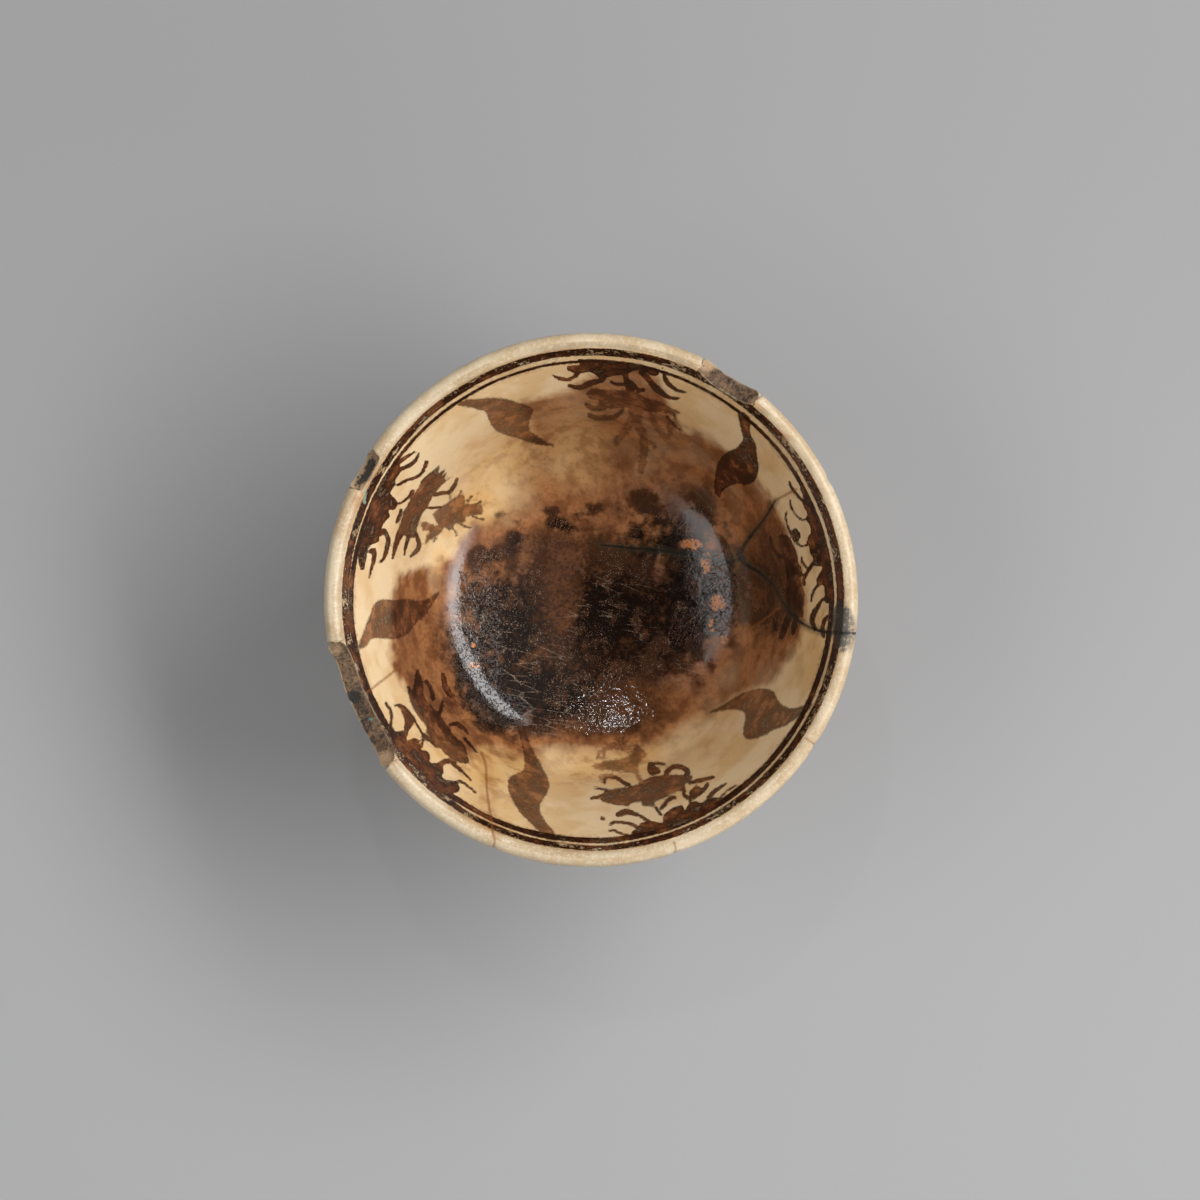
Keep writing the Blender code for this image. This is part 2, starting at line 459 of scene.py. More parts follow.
    def vertices(self) -> tuple[Array, list[int]]:
        """All the skin's points, row after row, between its two poles.

        Returns:
            The points, and how many columns each row has.
        """
        points, zones, fine = self.section.rows()
        bearing = np.arange(self.columns) * (2.0 * math.pi / self.columns)
        radius = np.repeat(points[None, :, 0], self.columns, axis=0)
        height = np.repeat(points[None, :, 1], self.columns, axis=0)
        outer = (zones >= Zone.LIP.value) & (zones < Zone.FOOT.value)
        radius = np.where(outer[None, :], self.worn(radius, height, bearing[:, None]), radius)
        broken = np.full(radius.shape, self.far_outside)
        radius[:, fine], height[:, fine], broken[:, fine] = self.broken_columns(
            radius[:, fine], height[:, fine], bearing
        )
        x = radius * np.cos(bearing)[:, None]
        y = radius * np.sin(bearing)[:, None]
        rows, widths, spots, zone_of = [], [], [], []
        for row in range(len(points)):
            step = 1 if fine[row] else 2
            rows.append(np.stack([x[::step, row], y[::step, row], height[::step, row]], axis=1))
            spots.append(broken[::step, row])
            zone_of.append(np.full(len(rows[-1]), zones[row]))
            widths.append(len(rows[-1]))
        top = np.array([[0.0, 0.0, self.section.foot_recess + self.section.floor_thickness]])
        under = np.array([[0.0, 0.0, self.section.foot_recess]])
        self.fields["broken"] = np.concatenate([[self.far_outside], *spots, [self.far_outside]]) / MM
        self.fields["zone"] = np.concatenate([[Zone.FLOOR.value], *zone_of, [Zone.FOOT.value]]).astype(float)
        return np.concatenate([top, *rows, under]), widths

    @staticmethod
    def faces(widths: list[int]) -> tuple[Array, Array]:
        """Faces between the rows: quads, three triangles where the columns halve, and fans at the poles.

        Args:
            widths: How many columns each row has.

        Returns:
            The quads and the triangles, as point numbers, facing out of the clay.
        """
        starts = 1 + np.concatenate([[0], np.cumsum(widths)])
        quads, triangles = [], []
        for row, (here, there) in enumerate(zip(widths[:-1], widths[1:], strict=True)):
            a, b = starts[row], starts[row + 1]
            if here == there:
                i = np.arange(here)
                j = (i + 1) % here
                quads.append(np.stack([a + i, b + i, b + j, a + j], axis=1))
                continue
            k = np.arange(min(here, there))
            following = (k + 1) % len(k)
            even, odd, after = 2 * k, 2 * k + 1, 2 * following
            if here < there:
                triangles.append(np.stack([a + k, b + even, b + odd], axis=1))
                triangles.append(np.stack([a + k, b + odd, a + following], axis=1))
                triangles.append(np.stack([a + following, b + odd, b + after], axis=1))
            else:
                triangles.append(np.stack([a + even, b + k, a + odd], axis=1))
                triangles.append(np.stack([a + odd, b + k, b + following], axis=1))
                triangles.append(np.stack([a + odd, b + following, a + after], axis=1))
        i = np.arange(widths[0])
        triangles.append(np.stack([np.zeros_like(i), 1 + i, 1 + (i + 1) % len(i)], axis=1))
        last = starts[len(widths) - 1]
        i = np.arange(widths[-1])
        triangles.append(np.stack([last + i, np.full_like(i, starts[-1]), last + (i + 1) % len(i)], axis=1))
        return np.concatenate(quads), np.concatenate(triangles)


@dataclass(frozen=True)
class Motif:
    """Lustre laid on with one kind of brush load.

    Shapes are outlines in pixels. Grounds are open edges whose ends are joined along the band under the rim.
    Strokes are centrelines, each point with its width: x, y, width.
    """

    tone: float
    shapes: tuple[tuple[Spot, ...], ...] = ()
    grounds: tuple[tuple[Spot, ...], ...] = ()
    strokes: tuple[Pull, ...] = ()


LEAVES = Motif(
    tone=0.84,
    shapes=(
        ((455, 403.5), (464.6, 399), (476, 398), (488.5, 396.7), (501, 396.7), (512.4, 399), (522, 401.5),
         (529.6, 404.4), (532.5, 408), (530.6, 413), (528, 419), (528, 426.4), (531.5, 430), (538, 434),
         (547, 439), (552.5, 442), (541, 441.5), (529.6, 439), (516, 435), (503, 431.7), (494, 427.4),
         (489.4, 421.6), (487, 416), (484.7, 410), (478, 408), (470, 406.3), (460.7, 405)),
        ((357, 648), (361, 635.6), (365.7, 622), (368.6, 614), (372.4, 603.7), (380, 599.4), (391.5, 600),
         (404, 599), (412.6, 601), (422, 600), (435.5, 591.5), (426, 608), (420, 616.5), (410.7, 625),
         (405, 633.7), (396, 638.5), (387.7, 639.4), (374, 638.5), (368.6, 640.4), (364, 647)),
        ((514, 724), (517, 735), (519.5, 746), (522, 757), (523, 767), (521, 774), (512.4, 777.5),
         (507, 782), (507.6, 793), (512.4, 803), (518, 812), (526, 820.6), (537, 831), (546, 840),
         (558, 841), (554.5, 834), (546.8, 825), (540, 815), (540, 805), (546.8, 795), (547.8, 785),
         (544, 776.6), (538, 765), (531.5, 753.6), (527, 744), (522, 730)),
        ((710.5, 715.3), (723, 709), (732.5, 703.3), (741, 697.6), (751.7, 692.8), (761, 690.4),
         (769, 690), (775.6, 692.8), (779.4, 700.5), (784.2, 706.2), (791.8, 709), (801.4, 707),
         (811, 702.5), (812, 707), (804.3, 713), (795.7, 719.6), (786, 726.3), (774.6, 731), (767, 735.8),
         (757.4, 739.7), (749.7, 740.6), (745.9, 737.8), (745.4, 730), (747.8, 720.5), (745.9, 713.8),
         (740, 711.8), (731.6, 712), (722, 713.8)),
    ),
)
DARK_LEAF = Motif(
    tone=1.04,
    shapes=(
        ((739, 410), (739.5, 419), (742, 429), (744, 438), (737.5, 446.5), (729, 450), (722, 457),
         (718.4, 466.6), (717, 486), (722, 495.5), (725, 489), (731, 484.5), (739, 481.5), (748, 483),
         (756, 480), (760, 471), (760, 463), (758, 453), (757, 444), (751, 432), (750, 417)),
    ),
)

TOP_SPRAY = Motif(
    tone=1.0,
    grounds=(
        ((578, 361), (583, 367), (595, 373), (601, 376.7), (612, 374.7), (619, 373.8), (625.6, 373),
         (634, 370), (641, 369), (648.6, 372.8), (657, 374.7), (662, 368), (664, 365)),
    ),
    strokes=(
        ((569, 367, 5), (577, 368, 8), (590, 366, 8), (603, 363, 7)),
        ((552.6, 374, 2), (560, 377, 3.5), (568, 377.6, 3.5), (574.6, 375, 3.5), (580, 370, 3.5),
         (583, 367, 3)),
        ((568.4, 383.4, 3), (579.4, 385.3, 5), (590.8, 381, 6), (602, 378.6, 4), (605, 375.7, 3)),
        ((625.6, 373, 5), (627, 380, 6), (631, 387, 9)),
        ((611, 380, 2.5), (617, 382.4, 3), (626.6, 381.4, 3)),
        ((628.5, 378.6, 3.5), (635, 384, 4), (639, 388, 4), (644, 388, 4)),
        ((641, 371, 5), (647.6, 376.7, 5), (652.4, 382.4, 6), (658, 387.7, 7), (667.7, 394.8, 4),
         (676, 396.7, 3), (680, 396.3, 2)),
        ((664, 372.8, 3), (666, 378.6, 5), (670.6, 384, 4), (678, 389, 3), (687, 391, 2)),
    ),
)
TOP_SPRAY_BODY = Motif(
    tone=0.86,
    shapes=(
        ((586, 391), (591, 387), (595, 386.7), (610, 387.5), (626.6, 388), (636, 390), (646.7, 395.8),
         (660, 398.7), (671.5, 405.4), (681, 409.7), (676, 411.6), (665.8, 408), (657, 410), (648.6, 409),
         (633, 406), (623.7, 404.4), (609, 406), (597, 404), (600, 398), (590, 396)),
    ),
    strokes=(
        ((665, 408, 3), (673.4, 411, 3), (677, 416.8, 2)),
        ((668, 414, 3), (674, 420.7, 3), (682.5, 427.8, 2)),
        ((586, 401.5, 4), (593.7, 405.4, 5), (605, 404.4, 5), (607.4, 401.5, 4)),
        ((589, 411.6, 4), (596.6, 414, 5), (612, 414, 5), (619, 411, 4), (622.7, 407.3, 4)),
    ),
)
TOP_SPRAY_FAINT = Motif(
    tone=0.50,
    strokes=(
        ((633, 407, 6), (632, 417, 7), (627.5, 424.5, 7), (619, 435, 6), (617, 440, 5)),
        ((640, 408, 6), (638, 421, 8), (643, 428, 8), (645.7, 447.5, 8), (641, 468, 6)),
        ((652, 411, 4), (656, 421, 5), (662, 429, 5), (667.7, 434, 5), (671.5, 428, 5),
         (669.6, 421.6, 3)),
        ((676, 417, 2), (683, 428, 2)),
        ((651, 438, 3), (656, 443, 3)),
    ),
)

LEFT_SPRAY = Motif(
    tone=1.0,
    grounds=(
        ((397.4, 458), (399, 471), (394.5, 479), (393.6, 485), (389, 492), (395.5, 501), (393.6, 508),
         (387, 510), (388, 516), (382, 523), (378, 533), (377, 540.5), (369, 545), (366, 551), (365, 559),
         (361, 567.5), (357.5, 563.5), (357, 556)),
    ),
    shapes=(
        ((389.7, 547), (393.6, 535), (397.4, 523), (401, 512), (405, 504), (409, 496.5), (416.5, 486),
         (419.4, 479), (424, 474.5), (432, 468), (438, 463.5), (435.7, 472), (442.8, 466.4),
         (440.5, 473.6), (444.3, 470.7), (442, 477.4), (450, 473.6), (441.4, 481), (433.7, 489),
         (429, 496.5), (424, 506), (419.4, 512), (416.5, 518.5), (413.7, 527), (412.7, 536), (406, 536),
         (399, 535), (394, 541)),
    ),
    strokes=(
        ((397.4, 461.6, 5), (406, 456, 3.5), (413.7, 451, 1.5)),
        ((398.4, 469, 4), (407, 465, 4), (413.7, 460, 3.5), (417.5, 453, 2.5)),
        ((396.4, 484, 3), (407, 478.4, 2.8), (413.7, 476.4, 3), (420.4, 470.7, 3), (425, 461, 4)),
        ((397.4, 503, 2), (406, 496.5, 3), (410.8, 490, 4)),
        ((399, 509, 3), (396.4, 516, 3), (394.5, 521, 3)),
        ((412.7, 533, 4), (415.6, 542.5, 4.5), (413.7, 549, 4.5), (407.4, 555.4, 3)),
        ((406, 534, 4.5), (403, 544, 3.5), (401, 554, 1.5)),
        ((397.4, 533, 7), (393.6, 543, 5), (389.7, 558, 2)),
        ((432, 493, 4), (439.5, 491, 4), (446, 490, 4), (451, 484, 4.5), (454.3, 476.4, 3)),
        ((421, 506, 2.5), (431, 506, 2.5), (438.5, 505, 2.5)),
        ((378, 534, 4), (382, 530, 4.5), (386, 538.7, 4.5), (384.4, 548, 4.5), (382, 557, 3.5),
         (378, 562, 2)),
        ((369, 551, 4.5), (372.4, 550, 4.5), (372, 559, 4), (369.5, 569, 2.5), (367.4, 578, 1)),
        ((361, 557, 6), (361, 563, 6), (361, 568, 4)),
    ),
)
LEFT_SPRAY_TOP = Motif(
    tone=0.80,
    shapes=(
        ((439.5, 504), (448, 498), (455, 493), (460.5, 492), (461.5, 496.5), (464, 502), (474, 501),
         (480.6, 507), (478, 512), (471, 513), (463, 515), (462.5, 519.5), (458.6, 521), (452, 522),
         (446, 529), (441, 525), (437.6, 530), (432, 536), (426, 538.6), (421, 543.4), (423, 535),
         (426, 529), (419.4, 529), (418.4, 521), (424, 521), (433.7, 524), (432, 518.5), (430, 512)),
    ),
    strokes=(
        ((450, 506, 2), (454, 498, 1.6), (458, 489, 0.6)),
        ((456, 506, 2), (463, 500, 1.4), (469, 494, 0.6)),
        ((462, 508, 2), (470, 504, 1.4), (478, 499, 0.6)),
        ((446, 507, 2), (447, 499, 1.4), (447, 492, 0.6)),
        ((466, 512, 1.6), (474, 516, 1.2), (482, 518, 0.6)),
        ((452, 516, 1.6), (460, 524, 1.2), (468, 526, 0.6)),
        ((446, 520, 1.6), (451, 529, 1.2), (453, 534, 0.5)),
        ((436, 524, 1.6), (434, 532, 1.2), (430, 540, 0.5)),
    ),
)

LOWER_LEFT_SPRAY = Motif(
    tone=0.95,
    grounds=(
        ((372, 700), (380, 715), (389, 725), (392, 728), (395, 732), (401.6, 731.7), (404.4, 737),
         (406.4, 741), (412, 739), (417, 741), (419, 747), (420, 751), (425.5, 752), (429, 757.5),
         (428.4, 762), (431, 764), (439, 765), (442.7, 772), (441, 777.6), (446.5, 781), (454, 782.4),
         (459, 789), (456, 793.4), (447.5, 794)),
    ),
    shapes=(
        ((405, 690), (407, 699), (410.7, 709), (418, 720), (424, 728), (425.5, 736), (437, 749),
         (451, 761), (463, 765.6), (467.6, 765), (465.7, 758), (465, 754), (462, 747), (451, 737),
         (445.6, 728), (437, 717), (427.4, 706), (420.7, 697), (420, 683), (414.5, 686), (411, 692)),
    ),
    strokes=(
        ((389.6, 727, 3), (390.6, 718, 3), (389, 710.6, 3), (386, 706, 3), (384, 703, 2)),
        ((404.4, 736, 4), (405.4, 729, 6), (408, 722, 9), (403.5, 712.5, 7), (398.7, 707, 4),
         (393.4, 706, 2)),
        ((410, 718, 4), (414, 724, 2.5), (419.7, 733.6, 2.5), (423.6, 739, 2.5)),
        ((421.7, 737, 5), (427.4, 741, 4.5), (432, 745, 3), (436, 749, 2)),
        ((419, 749, 3), (421.7, 741, 3)),
        ((440, 765, 6), (443.7, 763, 5), (449.4, 763, 4.5), (456, 769, 4), (464, 776, 2.5),
         (469.5, 782, 1.5)),
        ((454, 783, 3), (460, 783, 3), (467.6, 788, 2.5), (475, 794, 2)),
        ((414.5, 672, 3), (415, 681, 7), (414.5, 691, 8)),
        ((405.4, 688, 3), (409.7, 697, 4)),
        ((423, 682.5, 3), (428, 691, 4.5), (430, 700.7, 4.5)),
        ((439.4, 676, 4), (442, 689, 6), (449, 700.7, 6)),
        ((448, 727, 4), (454, 726, 4), (461, 731, 4), (465, 735.5, 3)),
        ((462, 741, 3.5), (467.6, 747, 3), (475, 755.6, 1.5)),
        ((436, 717, 4), (440, 704, 4)),
    ),
)
LOWER_LEFT_FAINT = Motif(
    tone=0.5, shapes=(((439, 702), (446, 698), (458, 700), (467, 707), (463, 714), (452, 716), (442, 712)),)
)

BOTTOM_SPRAY = Motif(
    tone=0.92,
    grounds=(
        ((630.4, 840), (632, 833), (638, 829), (641, 824.4), (648.6, 822.5), (656, 823), (663, 823.4),
         (664, 817), (670.6, 811), (678, 807.7), (683, 807), (685.4, 811), (689, 806), (694.5, 802.4),
         (702, 804), (707, 800.5), (712.7, 798.6), (718.4, 798.6), (716.5, 804), (710, 812)),
    ),
    shapes=(
        ((605, 794), (607, 793), (628.5, 790), (637, 788), (642, 785), (652.4, 780), (664, 778.5),
         (690.7, 777.5), (692.6, 782), (687, 786), (683, 792), (677, 794), (671.5, 796.7), (666, 799.5),
         (656, 804), (654, 808), (643, 808), (642, 804), (631, 806), (627.5, 808.6), (605.5, 805),
         (600, 800.5)),
    ),
    strokes=(
        ((630.4, 837, 3), (622, 835, 2.5), (614, 831.6, 2.5), (609, 832, 2)),
        ((637.6, 828.7, 4), (631.4, 825.4, 3), (622, 824, 3), (614, 824, 3), (610, 826, 2.5)),
        ((648.6, 822.5, 4), (641, 818, 3), (636, 816, 3.5), (626.6, 813.8, 6), (618, 816.7, 5)),
        ((709, 799, 4), (714.6, 793, 4), (727, 784.7, 2)),
        ((719.4, 801.4, 2.5), (726, 793, 2), (736.6, 786.6, 2)),
        ((685, 791, 3.5), (685, 796.7, 4), (690.7, 799.5, 4.5), (698, 795.7, 5), (705, 791, 4),
         (709, 785, 3)),
        ((693, 795, 6), (698, 791, 7)),
        ((690.7, 799, 4), (690.7, 804, 3)),
        ((690.7, 785, 3.5), (702, 782, 4), (714.6, 779, 3)),
        ((591, 801.4, 2.5), (595, 800.5, 3.5), (604.6, 798.6, 3.5)),
        ((595, 791, 2), (607, 793, 2)),
        ((666.7, 778.5, 5), (668.7, 774, 5), (674.4, 770, 5), (683, 770, 5), (689, 774, 5),
         (687, 778.5, 5)),
        ((652.4, 769, 8), (652.4, 774, 8), (658, 774, 7)),
        ((654, 768, 3), (658, 766.5, 3), (666, 767.5, 2.5)),
        ((604.6, 786, 3), (605.5, 781.4, 4), (611, 780, 4), (618, 782, 4), (624, 786, 4),
         (630, 788.5, 4)),
        ((656, 809, 3), (661, 816, 3)),
        ((662, 810, 4), (669.6, 801.4, 4), (675.4, 799.5, 4)),
        ((602, 820, 4), (604, 821, 3)),
    ),
)
BOTTOM_SPRAY_TOP = Motif(
    tone=0.54,
    shapes=(
        ((594, 769), (605, 765), (616, 764), (627.5, 761), (633, 757), (637, 748), (647.6, 757.4),
         (640, 766), (636, 775.6), (622, 775.6), (612, 774), (595, 772.5)),
    ),
    strokes=(
        ((636, 773, 4), (639, 779, 4), (642, 785, 4)),
        ((604, 753, 4), (615, 749, 7), (628, 752, 6)), ((617, 742, 4), (625, 746, 5)),
        ((600, 781, 3), (612, 779, 4)),
        ((598, 760, 3), (599.5, 756, 3), (603.5, 756, 3), (604.5, 760, 3), (600.5, 761.5, 3),
         (598, 760, 3)),
        ((602, 785, 2.5), (603, 781, 2.5), (606, 783, 2)),
    ),
)

RIGHT_SPRAY = Motif(
    tone=1.0,
    grounds=(
        ((800.5, 488), (804, 495), (803.9, 501.6), (804.8, 506.4), (807.7, 511), (808, 516), (806.7, 519),
         (808.7, 521.7), (811.5, 527.4), (812, 532.2), (809.6, 536), (808.7, 541.7), (810.6, 546.5),
         (811.5, 552.3), (814.4, 558), (813.4, 562.8), (816.3, 565.7), (823, 566.6), (822, 571.4),
         (818.2, 578), (818.2, 582.9), (821, 584.8), (824.9, 585.8), (825.9, 594.4), (824.9, 599),
         (826.8, 603), (830, 603)),
    ),
    strokes=(
        ((790, 481, 2), (792.4, 486.3, 3), (796.2, 492, 3), (801, 497.7, 3), (805.8, 501.6, 3.5)),
        ((791.4, 499.7, 2), (792.4, 505.4, 2), (795.3, 511, 2), (799, 516, 2), (803.9, 519.3, 2.2),
         (807.7, 518.8, 2)),
        ((788.6, 511, 2), (787.6, 516.9, 2), (789.5, 523.6, 2), (792.4, 531.2, 2.5), (796.2, 538.9, 2.5),
         (801, 544.6, 2.2), (805.8, 545.6, 2.2), (810.6, 542.7, 2.5)),
        ((797, 530, 5), (798.5, 534.5, 7.5), (799, 538.5, 5)),
        ((803.4, 557, 2.2), (804.4, 561.8, 2.5), (807.7, 566.6, 2.5), (810.6, 569.5, 2.5)),
        ((813.4, 563.8, 3), (811.5, 568.5, 3.5), (807.7, 574.3, 3.5), (805.8, 580, 3.5),
         (806.7, 584.8, 2.5)),
        ((802, 566, 2), (803.5, 575, 2.2), (806, 574, 2)),
        ((821, 583.8, 3.5), (817.3, 587.7, 2.8), (814.4, 593.4, 2.5), (813, 601, 2)),
        ((823.5, 599, 2.2), (819.2, 606.8, 4), (815.8, 613, 5.5), (813.8, 621, 5), (816.7, 629.7, 3)),
        ((828.5, 616, 3), (825.3, 621, 4), (823.4, 628.7, 4), (824.4, 636, 4)),
    ),
)
RIGHT_SPRAY_WASH = Motif(
    tone=0.98,
    shapes=(
        ((781, 536), (786, 534), (791.4, 537), (796.2, 545.6), (799, 553), (801, 563.8), (802, 575.2),
         (803.9, 584.8), (806.7, 593.4), (805.8, 603.9), (804.8, 617), (798, 616), (791, 610),
         (788.6, 603.9), (789.5, 584.8), (788.6, 565.7), (784.7, 551.3)),
    ),
    strokes=(
        ((773.3, 536, 2.5), (774.2, 542.7, 3), (777.1, 549.4, 3.5), (783, 556, 4)),
        ((781, 611, 4), (778.4, 621, 5), (778.4, 630.6, 4)),
        ((793, 612, 6), (788, 626.8, 6), (784.2, 637.3, 5)),
        ((799, 615, 5), (796.6, 626.8, 5), (795.7, 633.5, 4)),
    ),
)
PAINTING = (
    LEAVES, DARK_LEAF, TOP_SPRAY, TOP_SPRAY_BODY, TOP_SPRAY_FAINT, LEFT_SPRAY, LEFT_SPRAY_TOP,
    LOWER_LEFT_SPRAY, LOWER_LEFT_FAINT, BOTTOM_SPRAY, BOTTOM_SPRAY_TOP, RIGHT_SPRAY, RIGHT_SPRAY_WASH,
)

# Edge of the brown stain on the wall, in pixels: partly a real stain, partly the painted edge of the shadow
# that the rim casts inside.
STAIN_AND_SHADOW_EDGE = (
    (522, 400), (551, 391), (568, 386), (586, 374), (620, 366), (655, 370), (668, 398), (681, 425),
    (700, 430), (714.6, 438), (729, 447.5), (764, 482), (773, 497), (781, 507), (788, 530), (802, 565),
    (808, 600), (805, 627), (801, 638.5), (794, 655), (787.6, 667), (776, 684), (752, 698), (735, 712),
    (714, 728), (694, 746), (652, 764), (600, 770), (560, 766), (540, 768), (520, 770), (504, 769),
    (489.6, 759), (477, 757), (464, 762), (434, 733), (404, 688), (390, 666), (388, 640), (389, 605),
    (393, 586), (399, 573), (425, 564.5), (440, 558), (456, 545), (470, 522), (488, 508), (492, 490),
    (494, 465), (500, 445), (515, 426), (524, 412),
)

# The dark mended crack on the wall and on the floor, and the brown cracks: column, row and width in pixels.
WALL_MENDS: tuple[Pull, ...] = (
    ((777, 500, 0.8), (766.6, 518, 2.0), (753, 536, 3.0), (742, 553, 4.6)),
    ((742, 553, 4.6), (751, 564, 3.4), (764, 572.6, 2.4), (778, 587, 2.2), (787, 606, 2.2),
     (800, 620, 2.4), (810, 627, 2.6), (824, 631.6, 2.8), (838, 632.7, 2.8), (860, 633.4, 2.0)),
)
FLOOR_MEND: tuple[Pull, ...] = (
    ((745, 557, 3.8), (734, 561, 2.4), (719, 557.8, 1.8), (700, 555, 1.8), (662, 549, 2.4),
     (628, 546.3, 2.2), (601, 543.4, 1.2)),
)
BROWN_CRACKS: tuple[Pull, ...] = (
    ((479, 755, 1.2), (484, 768, 1.6), (486, 793, 1.8), (490, 815, 1.8), (493, 833, 2.0),
     (494.7, 841, 2.0), (492.6, 849, 2.0)),
    ((366, 693, 1.6), (396, 668, 1.6), (412, 648, 1.5), (432, 626, 1.0)),
    ((806, 738, 1.4), (813, 743, 2.2), (822, 748, 2.2)),
    ((674, 842, 1.2), (675.5, 848, 2.0), (675, 857, 2.2)),
    ((776, 500, 1.6), (787, 494, 1.6), (797, 489, 1.0)),
    ((783, 607.7, 1.4), (769, 619, 1.2), (757, 627.7, 1.0), (748, 632.5, 0.6)),
)


# Soft patches of each mask: centre and half widths in pixels, and a strength, below zero to thin.
CLOUDS: dict[str, tuple[Cloud, ...]] = {
    "dark": (
        (590, 634, 138, 104, 0.72), (486, 640, 44, 80, 0.45), (664, 610, 70, 66, 0.18),
        (704, 560, 34, 74, 0.60), (655, 534, 30, 22, 0.75), (640, 500, 34, 16, 0.30),
        (530, 706, 56, 34, 0.60), (648, 700, 50, 22, -0.50), (764, 588, 40, 50, 0.36),
        (513, 536, 11, 8, 0.62), (507, 549, 8, 7, 0.5), (556, 521, 12, 7, 0.6), (567, 527, 10, 5, 0.5),
        (582, 512, 14, 6, 0.35), (484, 553, 16, 10, 0.35), (562, 584, 22, 50, -0.42),
        (604, 612, 34, 36, 0.36), (466, 682, 15, 40, 0.50), (492, 722, 24, 15, 0.55),
        (497, 512, 8, 5, 0.45), (520, 521, 9, 8, 0.40), (549, 508, 9, 5, 0.50), (592, 505, 12, 6, 0.45),
        (656, 484, 26, 14, 0.14),
    ),
    "gold": (
        (515, 478, 70, 56, 0.75), (585, 462, 60, 50, 0.80), (436, 572, 11, 26, 1.00),
        (480, 512, 40, 20, 0.60), (590, 768, 74, 22, 0.90), (425, 735, 24, 40, 0.65),
        (640, 765, 90, 40, 0.35), (775, 470, 34, 50, 0.45), (465, 735, 34, 56, 0.95),
        (700, 740, 60, 30, 0.35), (560, 420, 50, 26, 0.60), (496, 790, 34, 50, 1.10),
        (812, 620, 26, 66, 0.80), (710, 400, 60, 30, 0.25), (610, 540, 50, 30, 0.40),
        (430, 540, 30, 20, 0.50),
    ),
    # Strength of the brown stain, which also stands for the painted shadow of the rim.
    "stain_and_shadow": (
        (431, 578, 8, 24, -0.34), (576, 450, 34, 40, -0.42), (422, 660, 46, 90, 0.25),
        (500, 728, 50, 30, 0.30), (735, 690, 60, 44, -0.12), (495, 520, 20, 14, -0.20),
        (630, 408, 44, 26, 0.05), (778, 575, 44, 66, 0.60), (590, 628, 142, 98, 0.70),
        (590, 722, 80, 28, 0.42), (528, 540, 52, 14, 0.20), (690, 500, 40, 30, 0.35),
    ),
    "soft": (
        (600, 750, 110, 46, 1.0), (725, 725, 60, 40, 0.6), (470, 745, 40, 30, 0.3),
        (520, 472, 54, 46, 2.0),
    ),
    "soot": (
        (846, 630, 12, 26, 1.0), (839, 622, 6, 22, 0.9), (372, 463, 5, 7, 0.85), (368, 472, 5, 9, 0.95),
        (362, 479, 7, 5, 0.75), (358, 486, 5, 5, 0.60), (730, 381, 7, 5, 0.62), (738, 388, 8, 4, 0.45),
        (748, 397, 9, 4, 0.32), (350, 697, 9, 5, 0.9), (341, 659, 4, 3, 0.6), (358, 708, 11, 30, 0.50),
        (366, 730, 8, 12, 0.40), (444, 405, 6, 4, 0.3),
    ),
    "verdigris": (
        (370.5, 719.5, 2.0, 2.0, 1.0), (365, 493, 1.6, 6, 1.0), (364, 501, 1.8, 4, 1.0),
        (787, 437, 3.5, 3, 0.5), (734, 394, 4, 3, 0.4),
    ),
    "pitted": (
        (478, 600, 32, 60, 0.75), (496, 660, 46, 60, 0.35), (560, 640, 70, 70, 0.30),
        (540, 500, 80, 40, 0.25), (622, 712, 70, 36, 0.84), (575, 724, 26, 16, 0.6),
        (720, 590, 26, 60, 0.10), (640, 590, 80, 70, 0.18),
    ),
    "crackled": (
        (472, 650, 26, 76, 1.0), (505, 716, 26, 20, 0.7), (724, 596, 18, 50, 0.9),
    ),
    "flakes": (
        (694, 543, 12, 6, 0.78), (709, 562, 6, 13, 0.66), (721, 603, 9, 10, 0.70), (714, 626, 5, 9, 0.50),
        (728, 640, 6, 7, 0.42), (472, 667, 6, 5, 0.50), (470, 646, 4, 4, 0.50),
    ),
    "grime": (
        (591, 334, 130, 26, 0.8), (690, 350, 40, 20, 0.6), (440, 385, 60, 40, 0.35),
        (800, 460, 40, 60, 0.5), (591, 862, 90, 16, 0.25), (699, 357, 12, 9, 1.0), (767, 409, 9, 9, 0.9),
        (337, 642, 9, 9, 1.0), (393, 770, 10, 10, 0.7), (378, 451, 8, 7, 0.8), (353, 495, 7, 8, 0.7),
    ),
    "halo": (
        (359, 480, 22, 40, 0.9), (706, 362, 15, 10, 0.75), (760, 403, 10, 8, 0.8),
        (344, 670, 12, 24, 0.30), (332, 648, 10, 8, 0.5), (386, 762, 12, 12, 0.8),
        (779, 432, 10, 10, 0.5), (822, 488, 8, 8, 0.5), (487, 800, 10, 34, 0.9), (484, 770, 8, 20, 0.6),
        (786, 437, 8, 6, 0.6), (788, 494, 9, 4, 0.5), (494, 841, 5, 8, 0.8), (814, 743, 7, 5, 0.7),
        (675, 850, 4, 7, 0.5),
    ),
}
# Width in pixels of the thin line under the lip, by bearing in degrees; below zero it is missing.
HAIRLINE = (
    (-180, -0.8), (-157, -1.0), (-128, -1.0), (-120, 1.6), (-60, 1.6), (-20, 2.4), (0, 2.2), (30, 3.0),
    (50, 4.2), (90, 4.4), (115, 3.2), (140, 1.8), (155, 1.6), (165, 0.9), (180, -0.8),
)


